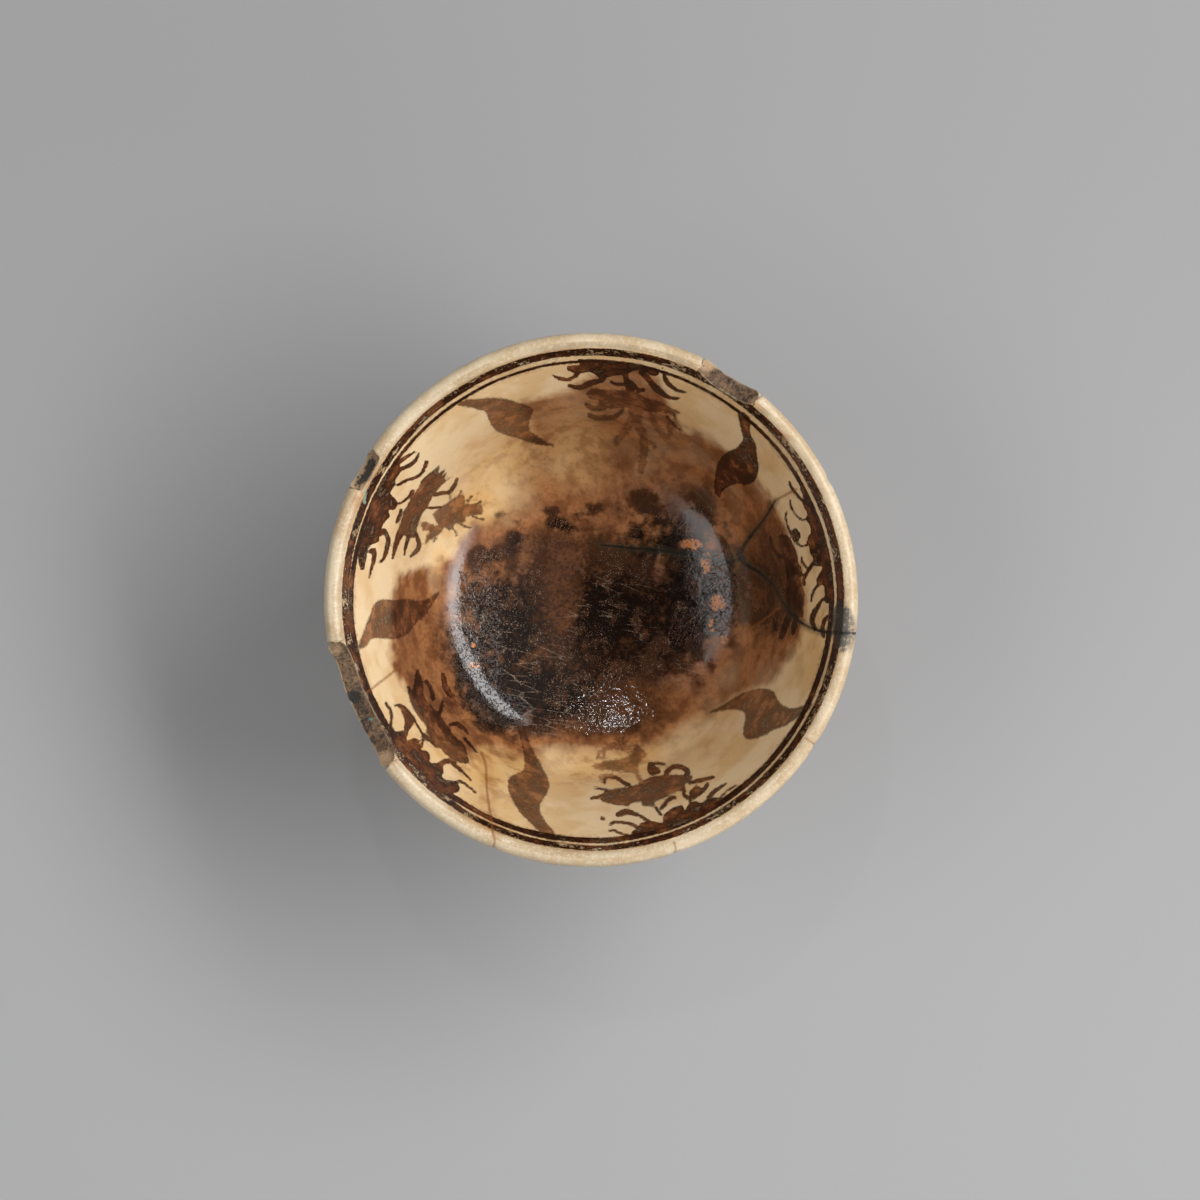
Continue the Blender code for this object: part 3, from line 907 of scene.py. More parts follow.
def cloudy(points: Array, period: float, octaves: int, seed: int) -> Array:
    """Value noise: random numbers on a lattice, blended smoothly in each cell, then halved in size and added.

    Args:
        points: Places in millimetres.
        period: Size of the coarsest lattice, in millimetres.
        octaves: How many lattices are added, each 0.65 as strong as the one before.
        seed: Picks the random numbers.

    Returns:
        A number round 0.5 for each place.
    """
    total = np.zeros(len(points))
    for octave in range(octaves):
        place = points * (2.0**octave / period) + 31.7 * seed
        cell = np.floor(place)
        share = place - cell
        share = share * share * (3.0 - 2.0 * share)
        for corner in np.ndindex(2, 2, 2):
            spot = (cell + corner + 4096.0).astype(np.uint64)
            number = spot[:, 0] * np.uint64(73856093) ^ spot[:, 1] * np.uint64(19349663)
            number = (number ^ spot[:, 2] * np.uint64(83492791)) * np.uint64(2654435761 + 2 * seed)
            lattice = ((number >> np.uint64(15)) % np.uint64(8191)).astype(float) / 8190.0 - 0.5
            weight = np.where(np.array(corner) == 1, share, 1.0 - share).prod(axis=1)
            total += 0.42 * 0.65**octave * weight * lattice
    return 0.5 + total


def smooth(value: Array, low: float, high: float) -> Array:
    """Rises from 0 at low to 1 at high along a smooth cubic."""
    t = np.clip((value - low) / (high - low), 0.0, 1.0)
    return t * t * (3.0 - 2.0 * t)


@dataclass
class Painter:
    """Works out, for every point of the inside, how far it lies within the painting, the stains and the
    painted shadow of the rim.

    Lengths are pixels, but for the lip's start and the cloudings' periods, which are millimetres. A load is
    how much lustre the brush leaves by each kind of mark.
    """

    photo: Photo
    smooth_steps: int = 5
    reach: float = 12.0
    thinnest: float = 0.95
    band_radius: float = 241.5
    band_steps: int = 14
    shape_load: float = 0.86
    ground_load: float = 1.0
    stroke_load: float = 0.94
    lip_from: tuple[float, float] = (51.6, 52.2)
    slow_clouding: tuple[float, int, int] = (9.0, 4, 1)
    mid_clouding: tuple[float, int, int] = (2.6, 3, 2)
    # How the field of the brown stain, partly painted shadow of the rim, is traced.
    stain_shadow_steps: int = 2
    stain_shadow_reach: float = 400.0
    stain_shadow_beyond: float = -200.0

    @staticmethod
    def curve(points: Array, closed: bool, steps: int) -> Array:
        """A smooth line through the points: each span is a cubic that also heeds the points before and after.

        Args:
            points: The points, any number of columns.
            closed: Whether the last point joins the first.
            steps: Pieces in each span.

        Returns:
            The denser line.
        """
        if closed:
            ring = np.concatenate([points[-1:], points, points[:2]])
        else:
            ring = np.concatenate([2 * points[:1] - points[1:2], points, 2 * points[-1:] - points[-2:-1]])
        a, b, c, d = ring[:-3, None], ring[1:-2, None], ring[2:-1, None], ring[3:, None]
        t = (np.arange(steps) / steps)[None, :, None]
        spans = 0.5 * (
            2 * b + (c - a) * t + (2 * a - 5 * b + 4 * c - d) * t**2 + (3 * b - a - 3 * c + d) * t**3
        )
        line = spans.reshape(-1, points.shape[1])
        return line if closed else np.concatenate([line, points[-1:]])

    @staticmethod
    def to_segments(x: Array, y: Array, line: Array) -> tuple[Array, Array]:
        """Distance from each place to each piece of a line, and how far along the piece it is met.

        Args:
            x: Columns of the places.
            y: Rows of the places.
            line: The line's points.

        Returns:
            Distances and shares along the pieces, a row for each place.
        """
        ax, ay = line[:-1, 0][None], line[:-1, 1][None]
        bx, by = line[1:, 0][None], line[1:, 1][None]
        dx, dy = bx - ax, by - ay
        t = ((x[:, None] - ax) * dx + (y[:, None] - ay) * dy) / np.maximum(dx * dx + dy * dy, 1e-9)
        t = np.clip(t, 0.0, 1.0)
        return np.hypot(x[:, None] - ax - t * dx, y[:, None] - ay - t * dy), t

    def near(self, x: Array, y: Array, line: Array) -> Array:
        """Numbers of the places that lie within reach of a line's box."""
        low, high = line[:, :2].min(axis=0) - self.reach, line[:, :2].max(axis=0) + self.reach
        return np.nonzero((x > low[0]) & (x < high[0]) & (y > low[1]) & (y < high[1]))[0]

    def stroke_field(self, x: Array, y: Array, stroke: Pull) -> tuple[Array, Array]:
        """Half the width at the nearest spot less the distance to it: above zero under the brush.

        Args:
            x: Columns of the places.
            y: Rows of the places.
            stroke: The stroke's points.

        Returns:
            Numbers of the places near it, and their depths.
        """
        line = self.curve(np.array(stroke, dtype=float), False, self.smooth_steps)
        chosen = self.near(x, y, line)
        distance, t = self.to_segments(x[chosen], y[chosen], line)
        half = np.maximum(0.5 * (line[:-1, 2] + t * (line[1:, 2] - line[:-1, 2])), self.thinnest)
        return chosen, (half - distance).max(axis=1)

    def shape_field(self, x: Array, y: Array, outline: tuple[Spot, ...]) -> tuple[Array, Array]:
        """Distance to a closed outline, above zero inside it by the even and odd count of crossings.

        Args:
            x: Columns of the places.
            y: Rows of the places.
            outline: The outline's points.

        Returns:
            Numbers of the places near it, and their distances.
        """
        line = self.curve(np.array(outline, dtype=float), True, self.smooth_steps)
        line = np.concatenate([line, line[:1]])
        chosen = self.near(x, y, line)
        px, py = x[chosen], y[chosen]
        distance = self.to_segments(px, py, line)[0].min(axis=1)
        ax, ay, bx, by = line[:-1, 0], line[:-1, 1], line[1:, 0], line[1:, 1]
        spans = (ay[None] > py[:, None]) != (by[None] > py[:, None])
        slant = np.where(by == ay, 1.0, by - ay)
        crosses = spans & (px[:, None] < (bx - ax) * (py[:, None] - ay) / slant + ax)
        inside = crosses.sum(axis=1) % 2 == 1
        return chosen, np.where(inside, distance, -distance)

    def ground_outline(self, edge: tuple[Spot, ...]) -> tuple[Spot, ...]:
        """Closes a ground's open edge along the circle of the inner painted line.

        Args:
            edge: The open edge's points.

        Returns:
            The closed outline.
        """
        cx, cy = self.photo.centre
        start = math.atan2(edge[-1][1] - cy, edge[-1][0] - cx)
        turn = (math.atan2(edge[0][1] - cy, edge[0][0] - cx) - start + math.pi) % (2.0 * math.pi) - math.pi
        around = start + turn * np.linspace(0.0, 1.0, self.band_steps)
        radius = self.band_radius
        return edge + tuple((cx + radius * math.cos(a), cy + radius * math.sin(a)) for a in around)

    def painting(self, x: Array, y: Array) -> tuple[Array, Array]:
        """Joins all motifs: the largest distance inside any shape or stroke, and the tone of that one.

        Args:
            x: Pixel columns of the places.
            y: Pixel rows of the places.

        Returns:
            The distance in pixels, above zero under lustre, and the tone.
        """
        depth = np.full(x.shape, -self.reach)
        tone = np.zeros(x.shape)
        for motif in PAINTING:
            grounds = [self.ground_outline(edge) for edge in motif.grounds]
            marks = [(self.shape_load, self.shape_field(x, y, outline)) for outline in motif.shapes]
            marks += [(self.ground_load, self.shape_field(x, y, outline)) for outline in grounds]
            marks += [(self.stroke_load, self.stroke_field(x, y, stroke)) for stroke in motif.strokes]
            for load, (chosen, value) in marks:
                deeper = value > depth[chosen]
                depth[chosen[deeper]] = value[deeper]
                tone[chosen[deeper]] = motif.tone * load
        return depth, tone

    @staticmethod
    def clouds(x: Array, y: Array, patches: tuple[Cloud, ...]) -> Array:
        """Sum of soft patches, each its strength over e to the fourth power of the way to its edge.

        Args:
            x: Columns of the places.
            y: Rows of the places.
            patches: The soft patches.

        Returns:
            The sum at each place.
        """
        total = np.zeros(x.shape)
        for column, row, wide, high, strength in patches:
            way = ((x - column) / wide) ** 2 + ((y - row) / high) ** 2
            total += strength * np.exp(-(way**2))
        return total

    def dress(self, points: Array, inside: Array) -> dict[str, Array]:
        """Values of every mask for every point.

        Args:
            points: The skin's points.
            inside: Which of them belong to the inside or the lip.

        Returns:
            Masks by name: lustre, mend and brown_crack are depths and hairline a width, in millimetres, and
            the others are strengths, of which most lie between 0 and 1.
        """
        x = self.photo.centre[0] + points[:, 0] / self.photo.pixel
        y = self.photo.centre[1] - points[:, 1] / self.photo.pixel
        scale = self.photo.pixel / MM
        depth, tone = np.full(len(x), -self.reach), np.zeros(len(x))
        depth[inside], tone[inside] = self.painting(x[inside], y[inside])
        # The brown stain, partly painted shadow of the rim: distance inside its edge, softened and scaled by
        # its strength.
        stain_and_shadow = np.full(len(x), self.stain_shadow_beyond)
        broad = Painter(self.photo, smooth_steps=self.stain_shadow_steps, reach=self.stain_shadow_reach)
        stain_and_shadow[inside] = broad.shape_field(x[inside], y[inside], STAIN_AND_SHADOW_EDGE)[1]
        slow, mid = cloudy(points / MM, *self.slow_clouding), cloudy(points / MM, *self.mid_clouding)
        lip = smooth(np.hypot(points[:, 0], points[:, 1]) / MM, *self.lip_from)
        clouds = {name: self.clouds(x, y, patches) for name, patches in CLOUDS.items()}
        strength = np.clip(clouds["stain_and_shadow"] + 0.84 + 0.16 * smooth(slow, 0.3, 0.7), 0.0, 1.6)
        softness = 1.3 + 5.0 * clouds["soft"]
        gold = clouds["gold"] * (0.55 + 0.60 * smooth(slow, 0.25, 0.75))
        bearing = np.degrees(np.arctan2(points[:, 1], points[:, 0]))
        masks = {
            "lustre": depth * scale,
            "tone": tone,
            "slow": slow,
            "mid": mid,
            "lip": lip,
            "stain_and_shadow": smooth(stain_and_shadow * scale + 2.4 * (mid - 0.5), -1.0, softness) * strength,
            "dark": clouds["dark"] * inside,
            "gold": np.clip(gold, 0.0, 1.0) * (1.0 - lip),
            "pitted": np.clip(clouds["pitted"] * inside, 0.0, 1.0),
            "crackled": np.clip(clouds["crackled"], 0.0, 0.75),
            "flakes": clouds["flakes"] * inside,
            "grime": clouds["grime"] * (0.35 + 1.3 * smooth(mid, 0.3, 0.7)),
            "hairline": np.interp(bearing, *zip(*HAIRLINE)) * scale,
        }
        masks |= {name: np.clip(clouds[name], 0.0, 1.0) for name in ("soot", "verdigris", "halo")}
        masks |= {
            name: self.deepest(x, y, cracks) * scale
            for name, cracks in (("mend", WALL_MENDS), ("brown_crack", BROWN_CRACKS))
        }
        return masks

    def deepest(self, x: Array, y: Array, strokes: tuple[Pull, ...]) -> Array:
        """The largest depth under any of the strokes, in pixels.

        Args:
            x: Columns of the places.
            y: Rows of the places.
            strokes: The strokes.

        Returns:
            The depth at each place.
        """
        depth = np.full(len(x), -self.reach)
        for stroke in strokes:
            chosen, value = self.stroke_field(x, y, stroke)
            depth[chosen] = np.maximum(depth[chosen], value)
        return depth


def srgb(red: float, green: float, blue: float) -> Colour:
    """Linear colour of an 8-bit screen colour.

    Args:
        red: Red, from 0 to 255.
        green: Green, the same.
        blue: Blue, the same.

    Returns:
        The linear colour with full alpha.
    """

    def linear(value: float) -> float:
        """One channel by the screen's curve."""
        share = value / 255.0
        return share / 12.92 if share <= 0.04045 else ((share + 0.055) / 1.055) ** 2.4

    return linear(red), linear(green), linear(blue), 1.0


@dataclass(frozen=True)
class Tones:
    """Colours of the glaze, the stains, the dirt and the bare clay, as they look in even light; the stain's
    browns also stand for painted shadow, and the pale thread and worn edge colours also stand for painted
    glints and a painted highlight.
    """

    light: Colour = srgb(240, 214, 172)
    deep: Colour = srgb(226, 191, 142)
    lip_light: Colour = srgb(204, 186, 156)
    lip_deep: Colour = srgb(186, 162, 127)
    amber_light: Colour = srgb(224, 180, 116)
    amber_deep: Colour = srgb(186, 136, 78)
    # Browns of the stain, which also stand for the painted shadow of the rim.
    stain_shadow_pale: Colour = srgb(168, 113, 70)
    stain_shadow_deep: Colour = srgb(128, 80, 47)
    stain_shadow_vein: Colour = srgb(98, 58, 32)
    # Darkest browns, where the stain and its painted shadow count more than once.
    deepest_stain_shadow_pale: Colour = srgb(86, 54, 33)
    deepest_stain_shadow_dark: Colour = srgb(44, 27, 18)
    burnt: Colour = srgb(23, 15, 12)
    burnt_light: Colour = srgb(64, 41, 27)
    # Pale colour of the scratches and of the painted glints along the crackle.
    thread_and_glint: Colour = srgb(188, 166, 142)
    rust: Colour = srgb(150, 88, 46)
    flake: Colour = srgb(208, 134, 76)
    grime: Colour = srgb(146, 128, 100)
    halo: Colour = srgb(176, 118, 62)
    crack: Colour = srgb(132, 80, 40)
    crack_outside: Colour = srgb(128, 82, 46)
    soot: Colour = srgb(62, 64, 64)
    soot_on_clay: Colour = srgb(30, 30, 28)
    verdigris: Colour = srgb(158, 172, 152)
    verdigris_on_clay: Colour = srgb(64, 140, 128)
    mend: Colour = srgb(30, 32, 30)
    mend_stain: Colour = srgb(58, 58, 44)
    # Pale edge by the breaks: worn glaze, and also a painted highlight of the glaze edge catching light.
    worn_edge_and_highlight: Colour = srgb(196, 178, 146)
    worn_edge_outside: Colour = srgb(190, 168, 130)
    soil: Colour = srgb(190, 150, 98)
    foot_clay: Colour = srgb(196, 168, 128)
    foot_dirt: Colour = srgb(126, 96, 64)
    glaze_roll: Colour = srgb(186, 146, 92)
    tread: Colour = srgb(206, 186, 152)
    break_clay: Colour = srgb(126, 96, 68)
    break_dirt: Colour = srgb(56, 38, 26)
    break_streak: Colour = srgb(58, 42, 30)
    break_warm: Colour = srgb(190, 158, 122)
    break_pit: Colour = srgb(38, 33, 28)
    glaze_section: Colour = srgb(196, 174, 138)
    grain: Colour = srgb(170, 128, 78)
    speck: Colour = srgb(150, 104, 58)
    rubbed: Colour = srgb(232, 220, 198)
    dirt: Colour = srgb(150, 116, 78)
    lustre_thin: Colour = srgb(178, 127, 88)
    lustre_full: Colour = srgb(114, 71, 47)
    lustre_pooled: Colour = srgb(52, 30, 20)
    sand_grain: Colour = srgb(188, 170, 140)


class Nodes:
    """Lays out nodes in one tree; a value given to it is a socket or a plain number, vector or colour."""

    def __init__(self, tree: Tree) -> None:
        """Keeps the tree."""
        self.tree = tree

    def feed(self, socket: Socket, value: object) -> None:
        """Links a socket to an input, or writes a plain value into it.

        Args:
            socket: The input.
            value: A socket, a plain value, or nothing to leave it.
        """
        if isinstance(value, Socket):
            self.tree.links.new(value, socket)
        elif value is not None:
            socket.default_value = value

    def add(self, kind: str, **settings: object) -> bpy.types.Node:
        """Adds a node and sets its properties.

        Args:
            kind: Blender's name for the node.
            **settings: Properties by name.

        Returns:
            The node.
        """
        node = self.tree.nodes.new(kind)
        for name, value in settings.items():
            setattr(node, name, value)
        return node

    def math(self, operation: str, *values: object, clamp: bool = False) -> Socket:
        """A Math node's result.

        Args:
            operation: Blender's name for the operation.
            *values: The inputs.
            clamp: Whether the result is kept from 0 to 1.

        Returns:
            The result's socket.
        """
        node = self.add("ShaderNodeMath", operation=operation, use_clamp=clamp)
        for socket, value in zip(node.inputs, values):
            self.feed(socket, value)
        return node.outputs[0]

    def times(self, *values: object, clamp: bool = False) -> Socket:
        """One value times another."""
        return self.math("MULTIPLY", *values, clamp=clamp)

    def plus(self, *values: object) -> Socket:
        """One value plus another."""
        return self.math("ADD", *values)

    def minus(self, *values: object, clamp: bool = False) -> Socket:
        """The first value less the second."""
        return self.math("SUBTRACT", *values, clamp=clamp)

    def scaled(self, value: object, factor: object, offset: object) -> Socket:
        """A value times a factor plus an offset."""
        return self.math("MULTIPLY_ADD", value, factor, offset)

    def larger(self, *values: object) -> Socket:
        """The larger of two values."""
        return self.math("MAXIMUM", *values)

    def smaller(self, *values: object) -> Socket:
        """The smaller of two values."""
        return self.math("MINIMUM", *values)

    def vector(self, operation: str, *values: object, scale: object = None) -> Socket:
        """A Vector Math node's vector, or its value for lengths and products.

        Args:
            operation: Blender's name for the operation.
            *values: The vector inputs.
            scale: The factor, for a scaling.

        Returns:
            The result's socket.
        """
        node = self.add("ShaderNodeVectorMath", operation=operation)
        for socket, value in zip(node.inputs, values):
            self.feed(socket, value)
        if scale is not None:
            self.feed(node.inputs["Scale"], scale)
        return node.outputs["Value" if operation in ("LENGTH", "DISTANCE", "DOT_PRODUCT") else "Vector"]

    def noise(
        self, vector: object, scale: float, detail: float = 3.0, roughness: float = 0.55, bend: float = 0.0
    ) -> Socket:
        """Noise of about 0 to 1.

        Args:
            vector: Where it is read.
            scale: Clouds in a unit of length.
            detail: Finer layers.
            roughness: How much the finer layers count.
            bend: How far it is distorted.

        Returns:
            The noise's socket.
        """
        node = self.add("ShaderNodeTexNoise")
        self.feed(node.inputs["Vector"], vector)
        values = {"Scale": scale, "Detail": detail, "Roughness": roughness, "Distortion": bend}
        for name, value in values.items():
            node.inputs[name].default_value = value
        return node.outputs["Fac"]

    def cells(self, vector: object, scale: float, feature: str = "F1", across: str = "3D") -> Socket:
        """Cells round scattered points, in space or across the plan: distance to their middles or edges.

        Args:
            vector: Where they are read.
            scale: Cells in a unit of length.
            feature: Blender's name for what is measured.
            across: 2D or 3D.

        Returns:
            The distance's socket.
        """
        node = self.add("ShaderNodeTexVoronoi", feature=feature, voronoi_dimensions=across)
        self.feed(node.inputs["Vector"], vector)
        node.inputs["Scale"].default_value = scale
        return node.outputs["Distance"]

    def ramp(
        self,
        value: object,
        low: object,
        high: object,
        start: object = 0.0,
        end: object = 1.0,
        smooth: bool = True,
    ) -> Socket:
        """Maps low to start and high to end, and holds beyond.

        Args:
            value: The value.
            low: Where the ramp starts.
            high: Where it ends.
            start: Result at low.
            end: Result at high.
            smooth: Whether its ends are eased.

        Returns:
            The result's socket.
        """
        node = self.add("ShaderNodeMapRange", interpolation_type="SMOOTHSTEP" if smooth else "LINEAR")
        names = ("Value", "From Min", "From Max", "To Min", "To Max")
        for name, given in zip(names, (value, low, high, start, end), strict=True):
            self.feed(node.inputs[name], given)
        return node.outputs[0]

    def mix(self, share: object, first: object, second: object, blend: str = "MIX") -> Socket:
        """Mixes two colours.

        Args:
            share: How much of the second counts.
            first: First colour.
            second: Second colour.
            blend: Blender's name for the way of mixing.

        Returns:
            The mixed colour's socket.
        """
        node = self.add("ShaderNodeMix", data_type="RGBA", blend_type=blend)
        colours = [socket for socket in node.inputs if socket.type == "RGBA"]
        self.feed(node.inputs[0], share)
        self.feed(colours[0], first)
        self.feed(colours[1], second)
        return next(socket for socket in node.outputs if socket.type == "RGBA")

    def over(self, ground: object, tone: object, share: object, strength: float) -> Socket:
        """Lays a colour over another where the share says, at the given strength."""
        return self.mix(self.times(share, strength), ground, tone)

    def split(self, vector: object) -> list[Socket]:
        """The three numbers of a vector.

        Args:
            vector: The vector.

        Returns:
            Three sockets: x, y and z.
        """
        parts = self.add("ShaderNodeSeparateXYZ")
        self.feed(parts.inputs[0], vector)
        return list(parts.outputs)

    def plan(self, place: object) -> Socket:
        """A place seen from above, with its height taken away."""
        return self.vector("MULTIPLY", place, (1.0, 1.0, 0.0))

    def fine(self, place: object) -> Socket:
        """Clouding about a millimetre across."""
        return self.noise(place, 1.3, 4.0, 0.72)

    def crumbs(self, place: object) -> Socket:
        """Clouding about a quarter of a millimetre across."""
        return self.noise(place, 3.6, 3.0, 0.75)

    def bump(self, shader: bpy.types.Node, height: object) -> None:
        """Feeds a height in millimetres to a shader's normal.

        Args:
            shader: The shader.
            height: The height.
        """
        bump = self.add("ShaderNodeBump")
        bump.inputs["Distance"].default_value = MM
        self.feed(bump.inputs["Height"], height)
        self.feed(shader.inputs["Normal"], bump.outputs[0])

    def strokes(self, segment: Tree, place: object, pulls: tuple[Pull, ...]) -> object:
        """Chains the pieces of tapered strokes and keeps the largest depth.

        Args:
            segment: The group that measures one piece.
            place: Position in millimetres.
            pulls: The strokes, each point with its width, in millimetres.

        Returns:
            A socket with the depth in millimetres, above zero inside a stroke.
        """
        depth: object = None
        for pull in pulls:
            for start, end in zip(pull[:-1], pull[1:], strict=True):
                piece = self.group(
                    segment,
                    Vector=place,
                    Start=(*start[:2], 0.0),
                    End=(*end[:2], 0.0),
                    Start_Half=start[2] / 2.0,
                    End_Half=end[2] / 2.0,
                ).outputs["Depth"]
                depth = piece if depth is None else self.larger(depth, piece)
        return depth

    def attribute(self, name: str) -> Socket:
        """A number that the mesh keeps for each point."""
        return self.add("ShaderNodeAttribute", attribute_type="GEOMETRY", attribute_name=name).outputs["Fac"]

    def millimetres(self) -> Socket:
        """Object coordinates in millimetres."""
        place = self.add("ShaderNodeTexCoord").outputs["Object"]
        return self.vector("SCALE", place, scale=1000.0)

    def group(self, tree: Tree, **values: object) -> bpy.types.Node:
        """Places a node group and feeds its named inputs; an underscore stands for a space.

        Args:
            tree: The group.
            **values: Its inputs by name.

        Returns:
            The group's node.
        """
        node = self.add("ShaderNodeGroup", node_tree=tree)
        for name, value in values.items():
            self.feed(node.inputs[name.replace("_", " ")], value)
        return node


def new_group(
    name: str, inputs: dict[str, str], outputs: dict[str, str]
) -> tuple[Tree, Nodes, bpy.types.NodeOutputs, bpy.types.NodeInputs]:
    """Starts a shader node group with named sockets.

    Args:
        name: The group's name.
        inputs: Kind of each input socket by name.
        outputs: Kind of each output socket by name.

    Returns:
        The group, its node layer, and the inner sockets of its inputs and outputs.
    """
    kinds = {"number": "NodeSocketFloat", "vector": "NodeSocketVector", "colour": "NodeSocketColor"}
    tree = bpy.data.node_groups.new(name, "ShaderNodeTree")
    for label, kind in inputs.items():
        tree.interface.new_socket(name=label, in_out="INPUT", socket_type=kinds[kind])
    for label, kind in outputs.items():
        tree.interface.new_socket(name=label, in_out="OUTPUT", socket_type=kinds[kind])
    nodes = Nodes(tree)
    entry = nodes.add("NodeGroupInput")
    leave = nodes.add("NodeGroupOutput")
    return tree, nodes, entry.outputs, leave.inputs


class Effects:
    """The shared effects, each a node group that is built once."""

    def __init__(self, tones: Tones) -> None:
        """Builds all groups from the shared colours.

        Args:
            tones: The shared colours.
        """
        self.tones = tones
        self.segment = self.segment_group()
        self.glaze = self.glaze_group()
        self.lustre = self.lustre_group()
        self.scratches = self.scratch_group()
        self.clay = self.clay_group()

    def segment_group(self) -> Tree:
        """How deep a place lies in a tapered stroke between two points: its half width less the distance.

        Returns:
            The group.
        """
        tree, n, entry, leave = new_group(
            "stroke_between_points",
            {
                "Vector": "vector",
                "Start": "vector",
                "End": "vector",
                "Start Half": "number",
                "End Half": "number",
            },
            {"Depth": "number"},
        )
        from_start = n.vector("SUBTRACT", entry["Vector"], entry["Start"])
        whole = n.vector("SUBTRACT", entry["End"], entry["Start"])
        along, square = n.vector("DOT_PRODUCT", from_start, whole), n.vector("DOT_PRODUCT", whole, whole)
        share = n.math("DIVIDE", along, square, clamp=True)
        distance = n.vector("DISTANCE", from_start, n.vector("SCALE", whole, scale=share))
        half = n.ramp(share, 0.0, 1.0, entry["Start Half"], entry["End Half"], smooth=False)
        n.feed(leave["Depth"], n.minus(half, distance))
        return tree

    def glaze_group(self) -> Tree:
        """Old cream tin glaze: slow clouding, fine grain, tan specks, pin holes and its uneven skin.

        Returns:
            The group.
        """
        tree, n, entry, leave = new_group(
            "cream_tin_glaze",
            {
                "Vector": "vector",
                "Slow": "number",
                "Fine": "number",
                "Crumbs": "number",
                "Light Cream": "colour",
                "Deep Cream": "colour",
                "Wear": "number",
            },
            {"Color": "colour", "Height": "number"},
        )
        place, slow, fine, crumbs = (entry[name] for name in ("Vector", "Slow", "Fine", "Crumbs"))
        colour = n.mix(n.ramp(slow, 0.35, 0.65), entry["Light Cream"], entry["Deep Cream"])
        colour = n.mix(n.ramp(crumbs, 0.3, 0.8, 0.0, 0.20), colour, self.tones.grain)
        specks = n.times(n.ramp(n.cells(place, 0.75), 0.05, 0.15, 1.0, 0.0), n.ramp(slow, 0.50, 0.62))
        colour = n.over(colour, self.tones.speck, specks, 0.50)
        rub = n.times(n.ramp(fine, 0.48, 0.62), entry["Wear"])
        colour = n.over(colour, self.tones.rubbed, rub, 0.45)
        dirt = n.times(n.ramp(crumbs, 0.52, 0.66), entry["Wear"])
        dirt = n.times(dirt, n.ramp(slow, 0.40, 0.60, 0.35, 1.0))
        n.feed(leave["Color"], n.over(colour, self.tones.dirt, dirt, 0.62))
        height = n.scaled(fine, 0.30, n.noise(place, 0.35, 2.0))
        n.feed(leave["Height"], n.scaled(specks, -0.6, height))
        return tree

    def lustre_group(self) -> Tree:
        """Lustre where the depth is above zero: wavering edge, dark rim, watery middle, rubbed spots.

        Returns:
            The group.
        """
        tree, n, entry, leave = new_group(
            "brown_lustre",
            {
                "Watery": "number",
                "Blot": "number",
                "Depth": "number",
                "Tone": "number",
                "Rubbed": "number",
                "Base": "colour",
            },
            {"Color": "colour", "Mask": "number"},
        )
        watery, blot, tone, base = (entry[name] for name in ("Watery", "Blot", "Tone", "Base"))
        tones = self.tones
        faint = n.minus(1.0, tone, clamp=True)
        depth = n.plus(entry["Depth"], n.times(n.minus(blot, 0.5), n.scaled(faint, 2.2, 0.60)))
        cover = n.ramp(depth, n.scaled(faint, -0.60, -0.08), n.scaled(faint, 0.50, 0.06))
        pool = n.ramp(depth, 0.04, 0.38, 1.0, 0.0)
        thick = n.minus(n.scaled(watery, 2.3, n.times(blot, 1.4)), 1.74)
        thick = n.plus(thick, n.scaled(tone, 1.10, -0.42))
        body = n.mix(n.ramp(thick, 0.0, 0.55), tones.lustre_thin, tones.lustre_full)
        body = n.mix(n.ramp(thick, 0.50, 1.0), body, tones.lustre_pooled)
        colour = n.over(body, tones.lustre_pooled, pool, 0.42)
        colour = n.mix(0.66, colour, base, "MULTIPLY")
        strength = n.ramp(tone, 0.0, 1.0, 0.55, 1.03, smooth=False)
        lift = n.ramp(n.scaled(watery, 0.7, blot), 0.90, 1.04)
        strength = n.minus(strength, n.times(lift, entry["Rubbed"]), clamp=True)
        share = n.times(cover, strength, clamp=True)
        n.feed(leave["Color"], n.mix(share, base, colour))
        n.feed(leave["Mask"], share)
        return tree

    def scratch_group(self) -> Tree:
        """Straight scratches in two directions, kept in patches: thin edges of cells that are drawn out.

        Returns:
            The group.
        """
        tree, n, entry, leave = new_group(
            "long_scratches", {"Vector": "vector", "Patch": "number"}, {"Mask": "number"}
        )
        total: object = 0.0
        for turn, scale, low, high in ((0.45, 0.80, 0.55, 0.62), (1.75, 0.62, 0.45, 0.38)):
            turned = n.add("ShaderNodeVectorRotate", rotation_type="Z_AXIS")
            n.feed(turned.inputs["Vector"], entry["Vector"])
            turned.inputs["Angle"].default_value = turn
            stretched = n.vector("MULTIPLY", turned.outputs[0], (1.0, 0.17, 1.0))
            edge = n.cells(stretched, scale, "DISTANCE_TO_EDGE", "2D")
            line = n.times(n.ramp(edge, 0.010, 0.060, 1.0, 0.0), n.ramp(entry["Patch"], low, high))
            total = n.larger(total, line)
        n.feed(leave["Mask"], total)
        return tree

    def old_glaze(self, n: Nodes, place: object, slow: object, tones: Tones) -> bpy.types.NodeOutputs:
        """The glaze as it looks on the outside and the foot: greyish and worn.

        Args:
            n: The material's node layer.
            place: Position in millimetres.
            slow: Clouding about a centimetre across.
            tones: The colours.

        Returns:
            The sockets of its colour and height.
        """
        node = n.group(
            self.glaze,
            Vector=place,
            Slow=slow,
            Fine=n.fine(place),
            Crumbs=n.crumbs(place),
            Light_Cream=tones.lip_light,
            Deep_Cream=tones.lip_deep,
            Wear=0.60,
        )
        return node.outputs

